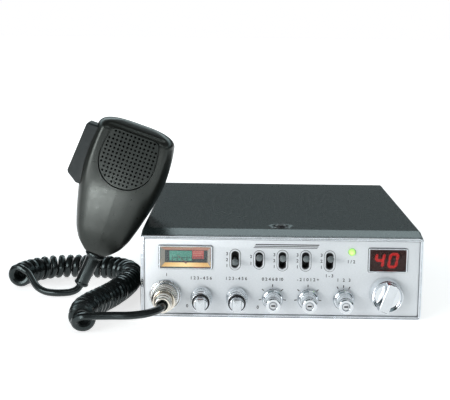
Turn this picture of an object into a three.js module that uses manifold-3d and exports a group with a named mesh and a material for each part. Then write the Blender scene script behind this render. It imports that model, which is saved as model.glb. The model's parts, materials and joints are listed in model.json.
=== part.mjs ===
// A mobile CB/SSB transceiver with its hand microphone leaning on the case.
// Millimetres, +Z up.  The origin is the middle of the flat underside of the case;
// the front panel faces -Y.  The radio group below measures Y from the front panel.
import * as THREE from 'three';
import { mergeVertices } from 'three/addons/utils/BufferGeometryUtils.js';
import Module from 'manifold-3d';

const wasm = await Module();
wasm.setup();

// ---------------------------------------------------------------- driving dimensions
const GAP = 0.3;                 // clearance between neighbouring pieces
const SEGMENTS = 16;             // facets round a turned piece

const CASE_WIDTH = 200;
const CASE_DEPTH = 235;
const FASCIA_HEIGHT = 59.5;
const COVER_TOP = 61.8;          // the cover rises behind the fascia
const COVER_SLOPE = 13;          // length of the sloping front band of the top cover
const SHEET = 1.2;               // cover steel
const SEAM_Z = 24;               // where the two covers meet on the sides
const CASE_EDGE = 2;             // radius of the long cover edges

const TRIM = 2.5;                // width of the bright frame round the panel
const TRIM_FRONT = -1.5;
const PANEL_BACK = 1.6;
const COVER_FRONT = 1.8;
const SUBPANEL = [3.6, 5.0];     // front wall of the chassis, Y from and to
const REAR_PANEL = [231.4, 233];

const KNOB_Z = 15;
const KNOB_PITCH = 25.2;
const FIRST_KNOB_X = -56.5;
const CHANNEL = { x: 74.3, z: 19, radius: 11.8, front: -11, barFront: -17, lean: 20 };
const SOCKET = { x: -82.3, z: 16.1, flange: 11.5, barrel: 8.3 };

const SWITCH_PIVOT_Y = 4.5;      // levers turn about X here, behind the panel
const SWITCH_THROW = 14;         // degrees each side of the middle
const SWITCHES = [               // middle of each slot, and the throw it rests at
  { x: -32.9, z: 42.4, rest: 0 },
  { x: -15.9, z: 42.4, rest: 1 },
  { x: 0.6, z: 42.1, rest: 1 },
  { x: 17.0, z: 42.1, rest: 1 },
  { x: 34.0, z: 42.1, rest: 1 },
];

const METER = { x: -68.05, z: 43.8, width: 38.1, height: 17.1 };
const METER_GLASS = { width: 31.4, height: 12.6 };
const DISPLAY = { x: 75.05, z: 43.3, width: 27.5, height: 17.4 };
const DISPLAY_GLASS = { width: 24.7, height: 14.5 };
const LAMP = { x: 49.7, z: 48.8, radius: 2.45 };

const MIC_FOOT = [-139.3, 60, 34.3];  // lower end of the microphone body
const MIC_TILT = 19.2;           // degrees, leaning right against the cover edge
const MIC_ROLL = 1.5;            // degrees about its own length, face turned right
const MIC_WALL = 2.2;
const MIC_SECTIONS = [           // height, half width, depth in front, depth behind
  [0, 9.5, 8.5, 9],
  [2.3, 12, 10, 10.5],
  [6.4, 16, 11.5, 12],
  [12, 19.5, 12.8, 13.5],
  [24, 23.8, 14.2, 15.5],
  [36, 27, 15.2, 17],
  [51, 30.4, 16, 18.5],
  [64, 32.2, 16, 19],
  [75, 32.2, 16, 19],
  [88, 31, 15.8, 18.6],
  [95, 29.3, 15, 17.5],
  [100.5, 25.5, 10.4, 15],
  [103.5, 18, 6.4, 11],
];
const GRILLE = { low: 54, high: 95.5, half: 21.5, corner: 6 };
const BOOT_LEAN = 6;             // degrees the strain relief bends from the body's length
const PTT_HALF = 9.2;            // half depth of the press-to-talk bar
const PTT_LOW = 46.8;
const PTT_HIGH = 92.8;

const CORD_RADIUS = 2.75;
const CURL_RADIUS = 9.5;

// ---------------------------------------------------------------- finishes
const finish = (color, roughness, metalness) => ({ color, roughness, metalness });
const FINISHES = {
  paint: finish(0x3b4341, 0.5, 0.3),
  chrome: finish(0xd9dde2, 0.15, 1),
  brushed: finish(0xc9ced6, 0.35, 0.9),
  steel: finish(0xa9adb0, 0.4, 0.9),
  blackPlastic: finish(0x17191a, 0.5, 0),
  slatePlastic: finish(0x2f3438, 0.5, 0),
  greyPlastic: finish(0x8e9295, 0.45, 0),
  smokedGlass: finish(0x2a0d0c, 0.1, 0),
  clearGlass: finish(0xb9d2cf, 0.1, 0),
  dial: finish(0x1f4f4a, 0.6, 0),
  redNeedle: finish(0xd04020, 0.5, 0),
  greenLens: finish(0x9fe040, 0.3, 0),
  board: finish(0x2c6b3c, 0.6, 0),
  rubber: finish(0x101112, 0.7, 0),
  aluminium: finish(0xb8bcc0, 0.4, 1),
};

// ---------------------------------------------------------------- solid helpers
function solidOf(geometry) {
  const bare = geometry.clone();
  bare.deleteAttribute('normal');
  bare.deleteAttribute('uv');
  const merged = mergeVertices(bare, 1e-4);
  const corners = [];
  const index = merged.index.array;
  for (let i = 0; i < index.length; i += 3) {
    const [a, b, c] = [index[i], index[i + 1], index[i + 2]];
    if (a !== b && b !== c && c !== a) corners.push(a, b, c);
  }
  return new wasm.Manifold(new wasm.Mesh({
    numProp: 3,
    vertProperties: new Float32Array(merged.attributes.position.array),
    triVerts: new Uint32Array(corners),
  }));
}

function geometryOf(solid) {
  const mesh = solid.getMesh();
  const geometry = new THREE.BufferGeometry();
  geometry.setAttribute('position', new THREE.BufferAttribute(mesh.vertProperties, 3));
  geometry.setIndex(new THREE.BufferAttribute(mesh.triVerts, 1));
  geometry.computeVertexNormals();
  return geometry;
}

// a box between two corners
function block(x0, x1, y0, y1, z0, z1) {
  const box = new THREE.BoxGeometry(x1 - x0, y1 - y0, z1 - z0);
  box.translate((x0 + x1) / 2, (y0 + y1) / 2, (z0 + z1) / 2);
  return solidOf(box);
}

// a turned piece: the profile is [radius, y] from the axis, out, along +Y and back
function turned(profile, segments = SEGMENTS) {
  return solidOf(new THREE.LatheGeometry(profile.map(([r, y]) => new THREE.Vector2(r, y)), segments));
}

// a turned ring: the same, with the profile closed on itself
const turnedRing = (profile, segments) => turned([...profile, profile[0]], segments);

// a round rod along Y
function rod(radius, y0, y1, x = 0, z = 0, segments = 12) {
  return turned([[0, y0], [radius, y0], [radius, y1], [0, y1]], segments).translate([x, 0, z]);
}

// pieces turned along Y, stood up along Z or laid along X
const upright = (solid, x, y, z = 0) => solid.rotate([90, 0, 0]).translate([x, y, z]);
const uprightRod = (radius, z0, z1, x, y) => upright(rod(radius, z0, z1), x, y);
const crossRod = (radius, x0, x1, y, z) =>
  rod(radius, x0, x1).rotate([0, 0, -90]).translate([0, y, z]);

// a plate whose outline lies in XZ, from y0 to y1
function plate(outline, y0, y1, curveSegments = 1) {
  const slab = new THREE.ExtrudeGeometry(outline, { depth: y1 - y0, bevelEnabled: false,
    curveSegments });
  slab.rotateX(Math.PI / 2);
  slab.translate(0, y1, 0);
  return solidOf(slab);
}

function roundedOutline(x0, x1, z0, z1, radius) {
  const outline = new THREE.Shape();
  outline.moveTo(x0 + radius, z0);
  outline.lineTo(x1 - radius, z0);
  outline.absarc(x1 - radius, z0 + radius, radius, -Math.PI / 2, 0);
  outline.lineTo(x1, z1 - radius);
  outline.absarc(x1 - radius, z1 - radius, radius, 0, Math.PI / 2);
  outline.lineTo(x0 + radius, z1);
  outline.absarc(x0 + radius, z1 - radius, radius, Math.PI / 2, Math.PI);
  outline.lineTo(x0, z0 + radius);
  outline.absarc(x0 + radius, z0 + radius, radius, Math.PI, 1.5 * Math.PI);
  return outline;
}

const roundedPlate = (x0, x1, z0, z1, radius, y0, y1) =>
  plate(roundedOutline(x0, x1, z0, z1, radius), y0, y1);

// a centred rounded plate with a margin added all round
function centredPlate(spec, margin, radius, y0, y1) {
  const [w, h] = [spec.width / 2 + margin, spec.height / 2 + margin];
  return roundedPlate(spec.x - w, spec.x + w, spec.z - h, spec.z + h, radius, y0, y1);
}

// a side outline in YZ carried across from x0 to x1
function sidePrism(points, x0, x1) {
  const outline = new THREE.Shape(points.map(([y, z]) => new THREE.Vector2(y, z)));
  const slab = new THREE.ExtrudeGeometry(outline, { depth: x1 - x0, bevelEnabled: false });
  slab.rotateX(Math.PI / 2);
  slab.rotateZ(Math.PI / 2);
  slab.translate(x0, 0, 0);
  return solidOf(slab);
}

// a skin through closed rings of points, capped at both ends
function loft(rings) {
  const count = rings[0].length;
  const corners = [];
  for (let r = 0; r + 1 < rings.length; r += 1) {
    for (let i = 0; i < count; i += 1) {
      const [a, b] = [r * count + i, r * count + ((i + 1) % count)];
      corners.push(a, b, b + count, a, b + count, a + count);
    }
  }
  const last = (rings.length - 1) * count;
  for (let i = 1; i + 1 < count; i += 1) {
    corners.push(0, i + 1, i, last, last + i, last + i + 1);
  }
  const geometry = new THREE.BufferGeometry();
  geometry.setAttribute('position', new THREE.Float32BufferAttribute(rings.flat(2), 3));
  geometry.setIndex(corners);
  return solidOf(geometry);
}

// a round tube along a smooth route
function tube(points, radius, steps, sides) {
  const stations = points.map((p) => new THREE.Vector3(...p));
  const route = new THREE.CatmullRomCurve3(stations, false, 'centripetal');
  const section = new THREE.Shape();
  section.absarc(0, 0, radius, 0, 2 * Math.PI);
  const options = { steps, extrudePath: route, bevelEnabled: false, curveSegments: sides / 2 };
  return solidOf(new THREE.ExtrudeGeometry(section, options));
}

function addPart(group, name, solid, look) {
  const mesh = new THREE.Mesh(geometryOf(solid), new THREE.MeshStandardMaterial(FINISHES[look]));
  mesh.name = name;
  group.add(mesh);
  return mesh;
}

const joinAll = (solids) => solids.reduce((whole, solid) => whole.add(solid));
const cutAll = (solid, cutters) => cutters.reduce((left, cutter) => left.subtract(cutter), solid);

// ---------------------------------------------------------------- controls in a table
const knobX = (index) => FIRST_KNOB_X + index * KNOB_PITCH;
const POTS = [
  { name: 'volume_control', x: knobX(0) },
  { name: 'rf_gain_control', x: knobX(1) },
  { name: 'mic_gain_control', x: knobX(2) },
  { name: 'clarifier_control', x: knobX(3) },
  { name: 'dimmer_control', x: knobX(4) },
];
const DUAL_KNOBS = [
  { centre: 'volume_knob', ring: 'squelch_ring', x: knobX(0) },
  { centre: 'rf_gain_knob', ring: 'swr_ring', x: knobX(1) },
];
const SINGLE_KNOBS = [
  { name: 'mic_gain_knob', x: knobX(2) },
  { name: 'clarifier_knob', x: knobX(3) },
  { name: 'dimmer_knob', x: knobX(4) },
];

const SIDE_SCREWS = [
  { name: 'cover_screw_left_front', side: -1, y: 40 },
  { name: 'cover_screw_left_rear', side: -1, y: 205 },
  { name: 'cover_screw_right_front', side: 1, y: 40 },
  { name: 'cover_screw_right_rear', side: 1, y: 205 },
];
const SIDE_SCREW_Z = 42;
const TOP_SCREW_Y = 26;
const DIMPLE = { radius: 9.4, depth: 1.5 };
const BRACKET_HOLE = { y: CASE_DEPTH / 2, z: 38, radius: 3, bossRadius: 7, bossHeight: 0.6 };
const REAR_SOCKETS = {
  antenna: { x: 62, z: 34 },
  power: { x: -55, z: 26 },
  jacks: { x: 12, z: 30, spacing: 22 },
};
const BOARD_HALF = 88;           // main circuit board, resting on the chassis ledges
const BOARD_Z = 20;
const BOARD_FRONT = 40;
const SPEAKER = { x: -42, y: 78, radius: 36 };
const SLOTS = { eachSide: 3, pitch: 8, width: 3, circle: 30 };  // sound openings under the speaker

const radio = new THREE.Group();
radio.position.y = -CASE_DEPTH / 2;

// ---------------------------------------------------------------- case
function sideHoles(radius) {
  const holes = SIDE_SCREWS.map(({ side, y }) =>
    crossRod(radius, side > 0 ? 90 : -110, side > 0 ? 110 : -90, y, SIDE_SCREW_Z));
  for (const side of [-1, 1]) {
    const from = side > 0 ? 90 : -110;
    holes.push(crossRod(BRACKET_HOLE.radius, from, from + 20, BRACKET_HOLE.y, BRACKET_HOLE.z));
  }
  return holes;
}

function topCover() {
  const half = CASE_WIDTH / 2;
  const sloped = (drop, y0, y1) => sidePrism([
    [y0, -10],
    [y1, -10],
    [y1, COVER_TOP - drop],
    [COVER_FRONT + COVER_SLOPE, COVER_TOP - drop],
    [y0, FASCIA_HEIGHT - drop],
  ], -half - 5, half + 5);
  const shell = roundedPlate(-half, half, -10, COVER_TOP, CASE_EDGE, COVER_FRONT, CASE_DEPTH)
    .intersect(sloped(0, COVER_FRONT, CASE_DEPTH));
  const inside = roundedPlate(-half + SHEET, half - SHEET, -20, COVER_TOP, CASE_EDGE, 0, CASE_DEPTH + 5)
    .intersect(sloped(SHEET, COVER_FRONT - 0.5, CASE_DEPTH + 5));
  const cup = (radius, floor, rim) => upright(
    turned([[0, floor], [radius - 2.9, floor], [radius, COVER_TOP - rim],
      [radius, COVER_TOP + 1 - 2 * rim],
      [0, COVER_TOP + 1 - 2 * rim]]), 0, TOP_SCREW_Y);
  const dimple = cup(DIMPLE.radius + 1.1, COVER_TOP - DIMPLE.depth - SHEET, 0.6);
  const hollow = cup(DIMPLE.radius, COVER_TOP - DIMPLE.depth, 0);
  const { bossRadius, bossHeight, y, z } = BRACKET_HOLE;
  const bosses = crossRod(bossRadius, half - SHEET, half + bossHeight, y, z)
    .add(crossRod(bossRadius, -half - bossHeight, -half + SHEET, y, z));
  const cutters = [
    hollow,
    uprightRod(2.2, 40, 80, 0, TOP_SCREW_Y),
    block(-half - 5, half + 5, -5, CASE_DEPTH + 5, -20, SEAM_Z + GAP),
    ...sideHoles(1.8),
  ];
  return cutAll(shell.subtract(inside).add(dimple).add(bosses), cutters);
}

function bottomCover() {
  const half = CASE_WIDTH / 2;
  const shell = roundedPlate(-half, half, 0, COVER_TOP, CASE_EDGE, COVER_FRONT, CASE_DEPTH);
  const [left, right] = [-half + SHEET, half - SHEET];
  const inside = roundedPlate(left, right, SHEET, COVER_TOP + 5, CASE_EDGE, 0, CASE_DEPTH + 5);
  const slots = [];
  for (let i = -SLOTS.eachSide; i <= SLOTS.eachSide; i += 1) {
    const y = SPEAKER.y + SLOTS.pitch * i;
    const reach = Math.sqrt(SLOTS.circle ** 2 - (SLOTS.pitch * i) ** 2);
    slots.push(block(SPEAKER.x - reach, SPEAKER.x + reach, y - SLOTS.width / 2,
      y + SLOTS.width / 2, -1, 3));
  }
  return cutAll(shell.subtract(inside), [
    block(-half - 5, half + 5, -5, CASE_DEPTH + 5, SEAM_Z, COVER_TOP + 5),
    ...slots,
  ]);
}

function chassis() {
  const rail = CASE_WIDTH / 2 - SHEET - GAP;
  const frame = joinAll([
    block(-rail, rail, ...SUBPANEL, 3.5, 57),
    block(-rail, rail, ...REAR_PANEL, 3.5, 58),
    block(-rail, -rail + 1.4, SUBPANEL[0], REAR_PANEL[1], 6, 54),
    block(rail - 1.4, rail, SUBPANEL[0], REAR_PANEL[1], 6, 54),
    block(-rail, -BOARD_HALF + 4, BOARD_FRONT, REAR_PANEL[1], BOARD_Z - GAP - 1.4, BOARD_Z - GAP),
    block(BOARD_HALF - 4, rail, BOARD_FRONT, REAR_PANEL[1], BOARD_Z - GAP - 1.4, BOARD_Z - GAP),
    block(-9, 9, SUBPANEL[0], TOP_SCREW_Y + 7, 55.4, 57),
  ]);
  const { antenna, power, jacks } = REAR_SOCKETS;
  return cutAll(frame, [
    block(-92, 93, 0, 8, 32.5, 54.5),
    ...POTS.map(({ x }) => rod(4.8, 0, 8, x, KNOB_Z)),
    rod(5.5, 0, 8, CHANNEL.x, CHANNEL.z),
    rod(SOCKET.barrel + GAP, 0, 8, SOCKET.x, SOCKET.z),
    rod(8.3, 225, 240, antenna.x, antenna.z),
    block(power.x - 12.3, power.x + 12.3, 225, 240, power.z - 6.3, power.z + 6.3),
    rod(3.8, 225, 240, jacks.x - jacks.spacing / 2, jacks.z),
    rod(3.8, 225, 240, jacks.x + jacks.spacing / 2, jacks.z),
    uprightRod(2.2, 40, 80, 0, TOP_SCREW_Y),
    ...sideHoles(1.8),
  ]);
}

function sideScrew(side, y) {
  const profile = [[0, -7], [1.5, -7], [1.5, 0], [3.8, 0], [3.8, 0.7], [3, 2], [0, 2]];
  return turned(profile).rotate([0, 0, -90 * side])
    .translate([side * (CASE_WIDTH / 2 + GAP), y, SIDE_SCREW_Z]);
}

function topScrew() {
  const profile = [[0, -9.4], [1.9, -9.4], [1.9, 0], [5.6, 0], [5.6, 0.7], [4.4, 0.9], [4.2, 1.7],
    [2.6, 2.6], [0, 2.6]];
  return upright(turned(profile), 0, TOP_SCREW_Y, COVER_TOP - DIMPLE.depth + GAP);
}

// ---------------------------------------------------------------- front panel
const slotOutline = (x, z, width, height) =>
  roundedOutline(x - width / 2, x + width / 2, z - height / 2, z + height / 2, width / 2 - 0.01);

function fasciaPanel() {
  const [side, low, high] = [CASE_WIDTH / 2 - TRIM - GAP, TRIM + GAP, FASCIA_HEIGHT - TRIM - GAP];
  const rims = SWITCHES.map(({ x, z }) => plate(slotOutline(x, z, 8, 15.4), -1.2, 0.5));
  return cutAll(joinAll([roundedPlate(-side, side, low, high, 1, 0, PANEL_BACK), ...rims]), [
    ...SWITCHES.map(({ x, z }) => plate(slotOutline(x, z, 5.6, 12.2), -5, 5)),
    centredPlate(METER, -1.5, 1, -5, 5),
    centredPlate(DISPLAY, -0.8, 1, -5, 5),
    rod(LAMP.radius + GAP, -5, 5, LAMP.x, LAMP.z),
    ...POTS.map(({ x }) => rod(4.8, -5, 5, x, KNOB_Z)),
    rod(5.5, -5, 5, CHANNEL.x, CHANNEL.z),
    rod(SOCKET.barrel + GAP, -5, 5, SOCKET.x, SOCKET.z),
  ]);
}

function fasciaTrim() {
  const half = CASE_WIDTH / 2;
  return roundedPlate(-half, half, 0, FASCIA_HEIGHT, 3, TRIM_FRONT, COVER_FRONT - GAP)
    .subtract(roundedPlate(-half + TRIM, half - TRIM, TRIM, FASCIA_HEIGHT - TRIM, 1.3, -5, 5));
}

// an open tray behind the panel, with a flange in front and a lip round the glass
function instrumentTray(spec, glass, inset, back) {
  const opening = { ...spec, ...glass };
  return centredPlate(spec, 0, 1.5, -1.8, -GAP)
    .add(centredPlate(spec, -inset - GAP, 1, -GAP - 0.1, back))
    .subtract(centredPlate(opening, 0, 0.8, -5, back - 1.2));
}

function instruments() {
  const meterGlass = { ...METER, ...METER_GLASS };
  addPart(radio, 'meter_case', instrumentTray(METER, METER_GLASS, 1.5, 14), 'blackPlastic');
  addPart(radio, 'meter_window', centredPlate(meterGlass, -GAP, 0.6, -1.5, -0.7), 'clearGlass');
  addPart(radio, 'meter_dial', centredPlate(meterGlass, -GAP, 0.6, 8, 8.8), 'dial');
  const needle = addPart(radio, 'meter_needle', joinAll([
    rod(1.3, 5.2, 6.6, 0, 0, 12),
    block(-0.35, 0.35, 5.5, 6.2, -1.5, 10.2),
  ]), 'redNeedle');
  needle.position.set(METER.x, 0, METER.z - METER_GLASS.height / 2 + 2);
  needle.rotation.y = -THREE.MathUtils.degToRad(50);
  const displayGlass = { ...DISPLAY, ...DISPLAY_GLASS };
  addPart(radio, 'display_case', instrumentTray(DISPLAY, DISPLAY_GLASS, 0.8, 14), 'blackPlastic');
  addPart(radio, 'display_window', centredPlate(displayGlass, -GAP, 0.6, -1.5, -0.5), 'smokedGlass');
  addPart(radio, 'display_digits', centredPlate(displayGlass, -1, 0.6, 1.5, 8), 'greyPlastic');
  addPart(radio, 'transmit_lamp', turned([[0, -2.6], [1.4, -2.3], [2.2, -1.5], [2.45, -0.6],
    [2.45, 7], [0, 7]], 20)
    .translate([LAMP.x, 0, LAMP.z]), 'greenLens');
}

function switchLever({ x, z, rest }, index) {
  const profile = [[0, -15.6], [1.5, -15.1], [2.3, -13.6], [2.3, -12.6], [1.5, -9.5], [1.1, 0],
    [1.1, 2], [0, 2]];
  const lever = addPart(radio, `switch_lever_${index + 1}`, turned(profile, 16), 'greyPlastic');
  lever.position.set(x, SWITCH_PIVOT_Y, z);
  lever.rotation.x = -THREE.MathUtils.degToRad(SWITCH_THROW * rest);
}

function switchBoard() {
  const bodies = SWITCHES.map(({ x, z }) => block(x - 4.2, x + 4.2, 8.5, 18.2, z - 8, z + 8));
  return joinAll([block(-44, 45, 18, 19.6, 32, 53), ...bodies]);
}

function controls() {
  for (const { name, x } of POTS) {
    const body = turnedRing([[3.3, 2.1], [4.5, 2.1], [4.5, 6.5], [8.4, 6.5], [8.4, 17], [3.3, 17]], 24);
    addPart(radio, name, body.translate([x, 0, KNOB_Z]), 'steel');
  }
  for (const { centre, ring, x } of DUAL_KNOBS) {
    const outer = turnedRing([[1.95, -16.8], [6.5, -16.8], [6.95, -16.1], [7.1, -7], [7.85, -5],
      [7.85, -0.6],
      [3, -0.6], [3, 14], [1.95, 14]]);
    addPart(radio, ring, outer.translate([x, 0, KNOB_Z]), 'chrome');
    const inner = turned([[0, -22.6], [4.5, -22.6], [5.1, -21.8], [5.2, -17.2], [1.6, -17.2],
      [1.6, 15], [0, 15]])
      .add(block(-1.1, 1.1, -24, -22, -3.6, 4.6));
    addPart(radio, centre, inner.translate([x, 0, KNOB_Z]), 'chrome');
  }
  for (const { name, x } of SINGLE_KNOBS) {
    const body = turned([[0, -23], [5, -23], [5.5, -22.2], [6.1, -10], [6.8, -5], [7.6, -4], [7.6, -0.6],
      [3, -0.6], [3, 14], [0, 14]]);
    addPart(radio, name, body.translate([x, 0, KNOB_Z]), 'chrome');
  }
}

function channelSelector() {
  const { x, z, radius, front, barFront, lean } = CHANNEL;
  const skirt = turned([[0, front], [radius - 1.6, front], [radius - 0.8, front + 1.5], [radius, -0.6],
    [3, -0.6], [3, 14], [0, 14]], 36);
  const knob = skirt.add(roundedPlate(-3.1, 3.1, 0.6 - radius, radius - 0.6, 2, barFront, front + 1))
    .rotate([0, lean, 0]);
  addPart(radio, 'channel_knob', knob.translate([x, 0, z]), 'chrome');
  const switchBody = turnedRing([[3.3, 2.1], [5.2, 2.1], [5.2, 6.5], [11.5, 6.5], [11.5, 19],
    [3.3, 19]], 24);
  addPart(radio, 'channel_switch', switchBody.translate([x, 0, z]), 'steel');
}

function micConnector() {
  const { x, z, flange, barrel } = SOCKET;
  const socket = turned([[0, -4], [5.6, -4], [5.6, -9], [7, -9], [7, -2.4], [flange - 1, -2.4],
    [flange, -1.4],
    [flange, -GAP], [barrel, -GAP], [barrel, 12], [0, 12]]);
  addPart(radio, 'mic_socket', socket.translate([x, 0, z]), 'chrome');
  const nut = turnedRing([[6.5, -17], [8.2, -17], [9.1, -15.6], [9.1, -2.8], [7.5, -2.8],
    [7.5, -14.5], [6.5, -14.5]]);
  addPart(radio, 'plug_nut', nut.translate([x, 0, z]), 'steel');
  const plug = turned([[0, -20], [3.2, -20], [3.2, -30], [5.2, -30], [6.2, -28.5], [6.2, -14.2],
    [6.9, -14.2],
    [6.9, -9.6], [5, -9.6], [5, -4.6], [0, -4.6]]);
  addPart(radio, 'plug_body', plug.translate([x, 0, z]), 'steel');
}

// ---------------------------------------------------------------- inside and rear
function inside() {
  const parts = [block(-BOARD_HALF, BOARD_HALF, BOARD_FRONT, 222, BOARD_Z, BOARD_Z + 1.6)];
  for (let i = 0; i < 6; i += 1) {
    parts.push(block(-70 + 26 * i, -60 + 26 * i, 150, 160, 21, 34));
    parts.push(uprightRod(4 + (i % 3), 21, 36 + 2 * (i % 2), -64 + 25 * i, 120 - 9 * (i % 2)));
    parts.push(block(-66 + 26 * i, -50 + 26 * i, 182, 190, 21, 27));
  }
  parts.push(block(50, 80, 60, 90, 21, 46));
  addPart(radio, 'main_board', joinAll(parts), 'board');
  const { x, y, radius } = SPEAKER;
  const cone = turned([[0, 8], [10, 8], [radius - 8, 2.4], [radius - 6, 1.6], [radius, 1.6], [radius, 4],
    [radius - 5, 4], [12, 13], [11, 17], [0, 17]], 28);
  addPart(radio, 'speaker', upright(cone, x, y), 'blackPlastic');
  addPart(radio, 'heat_sink', joinAll([
    block(-96.8, -92, 120, 196, 24, 52),
    ...[0, 1, 2, 3, 4].map((i) => block(-92.2, -86, 124 + 16 * i, 126 + 16 * i, 24, 52)),
  ]), 'aluminium');
}

function rearSockets() {
  const { antenna, power, jacks } = REAR_SOCKETS;
  const back = REAR_PANEL[1] + GAP;
  const antennaSocket = turnedRing([[2.4, 226], [8, 222], [8, back], [11, back], [11, back + 2],
    [7.8, back + 2],
    [7.8, back + 13], [6.4, back + 13], [6.4, back + 4], [2.4, back + 4]]);
  addPart(radio, 'antenna_socket', antennaSocket.translate([antenna.x, 0, antenna.z]), 'chrome');
  const shell = joinAll([
    block(power.x - 12, power.x + 12, 222, back + 0.1, power.z - 6, power.z + 6),
    block(power.x - 14, power.x + 14, back, back + 5, power.z - 8, power.z + 8),
  ]).subtract(block(power.x - 10, power.x + 10, 226, 250, power.z - 4, power.z + 4));
  const pins = [-6, 0, 6].map((dx) => rod(1.1, 225, back - 1, power.x + dx, power.z, 10));
  addPart(radio, 'power_socket', joinAll([shell, ...pins]), 'blackPlastic');
  const holder = block(jacks.x - 18, jacks.x + 18, 219, 229, jacks.z - 6, jacks.z + 6);
  const barrels = [-1, 1].map((side) => rod(3.5, 228, back + 2,
    jacks.x + side * jacks.spacing / 2, jacks.z));
  const bores = [-1, 1].map((side) => rod(1.8, 224, 250, jacks.x + side * jacks.spacing / 2,
    jacks.z, 14));
  addPart(radio, 'speaker_jacks', cutAll(joinAll([holder, ...barrels]), bores), 'blackPlastic');
}

// ---------------------------------------------------------------- microphone
const microphone = new THREE.Group();
microphone.position.set(...MIC_FOOT);
microphone.rotation.set(0, THREE.MathUtils.degToRad(MIC_TILT), THREE.MathUtils.degToRad(MIC_ROLL));
radio.add(microphone);

// half width, front depth and back depth of the body at a height
function micSectionAt(height) {
  const above = Math.max(1, MIC_SECTIONS.findIndex(([h]) => h >= height));
  const [low, high] = [MIC_SECTIONS[above - 1], MIC_SECTIONS[above]];
  const t = (height - low[0]) / (high[0] - low[0]);
  return low.slice(1).map((value, i) => value + t * (high[i + 1] - value));
}

// half of the body: side -1 in front of the seam, +1 behind it
function micHalf(side, wall, seam, heights) {
  const SQUARENESS = 0.62;
  const POINTS = 8;
  return loft(heights.map((height) => {
    const [width, front, back] = micSectionAt(height).map((value) => value - wall);
    const depth = side < 0 ? front : back;
    const ring = [];
    for (let i = 0; i <= POINTS; i += 1) {
      const angle = (Math.PI * i) / POINTS;
      const across = side * Math.sign(Math.cos(angle)) * Math.abs(Math.cos(angle)) ** SQUARENESS;
      const out = side * (seam + (depth - seam) * Math.sin(angle) ** SQUARENESS);
      ring.push([width * across, out, height]);
    }
    return ring;
  }));
}

function micShell(side) {
  const outside = MIC_SECTIONS.map(([height]) => height);
  const hollow = [MIC_WALL, ...outside.slice(2, -2), MIC_SECTIONS.at(-1)[0] - 1.6 * MIC_WALL];
  const shell = micHalf(side, 0, GAP / 2, outside).subtract(micHalf(side, MIC_WALL, -1, hollow));
  return shell.subtract(block(-60, -24, -PTT_HALF - 0.4, PTT_HALF + 0.4, PTT_LOW - 0.4, PTT_HIGH + 0.4));
}

function grilleOutline(margin) {
  const { low, high, half, corner } = GRILLE;
  const [side, top, foot] = [half - margin, high - margin, low + half];
  const outline = new THREE.Shape();
  outline.moveTo(side, foot);
  outline.lineTo(side, top - corner);
  outline.absarc(side - corner, top - corner, corner, 0, Math.PI / 2);
  outline.lineTo(corner - side, top);
  outline.absarc(corner - side, top - corner, corner, Math.PI / 2, Math.PI);
  outline.lineTo(-side, foot);
  outline.absarc(0, foot, side, Math.PI, 2 * Math.PI);
  return outline;
}

const MIC_SCREWS = [{ name: 'mic_screw_left', x: -13 }, { name: 'mic_screw_right', x: 13 }];
const MIC_SCREW_HEIGHT = 34;

function handMicrophone() {
  const bosses = MIC_SCREWS.map(({ x }) => rod(3, -12.5, -0.6, x, MIC_SCREW_HEIGHT, 14));
  const bores = MIC_SCREWS.map(({ x }) => rod(1.7, -9, 30, x, MIC_SCREW_HEIGHT, 14));
  const front = cutAll(joinAll([micShell(-1), ...bosses]), [plate(grilleOutline(0), -30, -5, 4),
    ...bores]);
  addPart(microphone, 'mic_front_shell', front, 'blackPlastic');
  addPart(microphone, 'mic_back_shell', cutAll(micShell(1), bores), 'blackPlastic');
  addPart(microphone, 'mic_grille', plate(grilleOutline(GAP), -14.8, -12.8, 4), 'blackPlastic');
  const [, , backDepth] = micSectionAt(MIC_SCREW_HEIGHT);
  for (const { name, x } of MIC_SCREWS) {
    const screw = turned([[0, -6], [1.3, -6], [1.3, backDepth + 0.6], [3, backDepth + 0.6],
      [3, backDepth + 1.6],
      [1.8, backDepth + 2.4], [0, backDepth + 2.4]], 18);
    addPart(microphone, name, screw.translate([x, 0, MIC_SCREW_HEIGHT]), 'steel');
  }
  addPart(microphone, 'mic_capsule', rod(9.5, -12, -4, 0, 72, 24), 'aluminium');
  const button = new THREE.Shape([[-27.6, PTT_LOW], [-27.6, PTT_HIGH], [-36.1, PTT_HIGH], [-37.7, 91],
    [-40.2, 53.9], [-39.1, 52], [-31.4, PTT_LOW]].map(([x, z]) => new THREE.Vector2(x, z)));
  addPart(microphone, 'ptt_button', plate(button, -PTT_HALF, PTT_HALF), 'slatePlastic');
  addPart(microphone, 'ptt_switch', block(-23.6, -15, -4, 4, 60, 76), 'greyPlastic');
  const hangerFoot = micSectionAt(64)[2] + GAP;
  addPart(microphone, 'hanger_button', turned([[0, hangerFoot], [5, hangerFoot], [5, hangerFoot + 3.5],
    [7.5, hangerFoot + 4], [7.5, hangerFoot + 6], [6, hangerFoot + 7], [0, hangerFoot + 7]])
    .translate([0, 0, 64]), 'steel');
  const boot = turned([[0, -29.4], [5, -29.4], [5.3, -11], [5.7, -4.6], [7.6, -3.8], [7.6, -1.2],
    [0, -1.2]]);
  addPart(microphone, 'mic_strain_relief', upright(boot, 0, 0).rotate([0, BOOT_LEAN, 0]), 'rubber');
}

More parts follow.
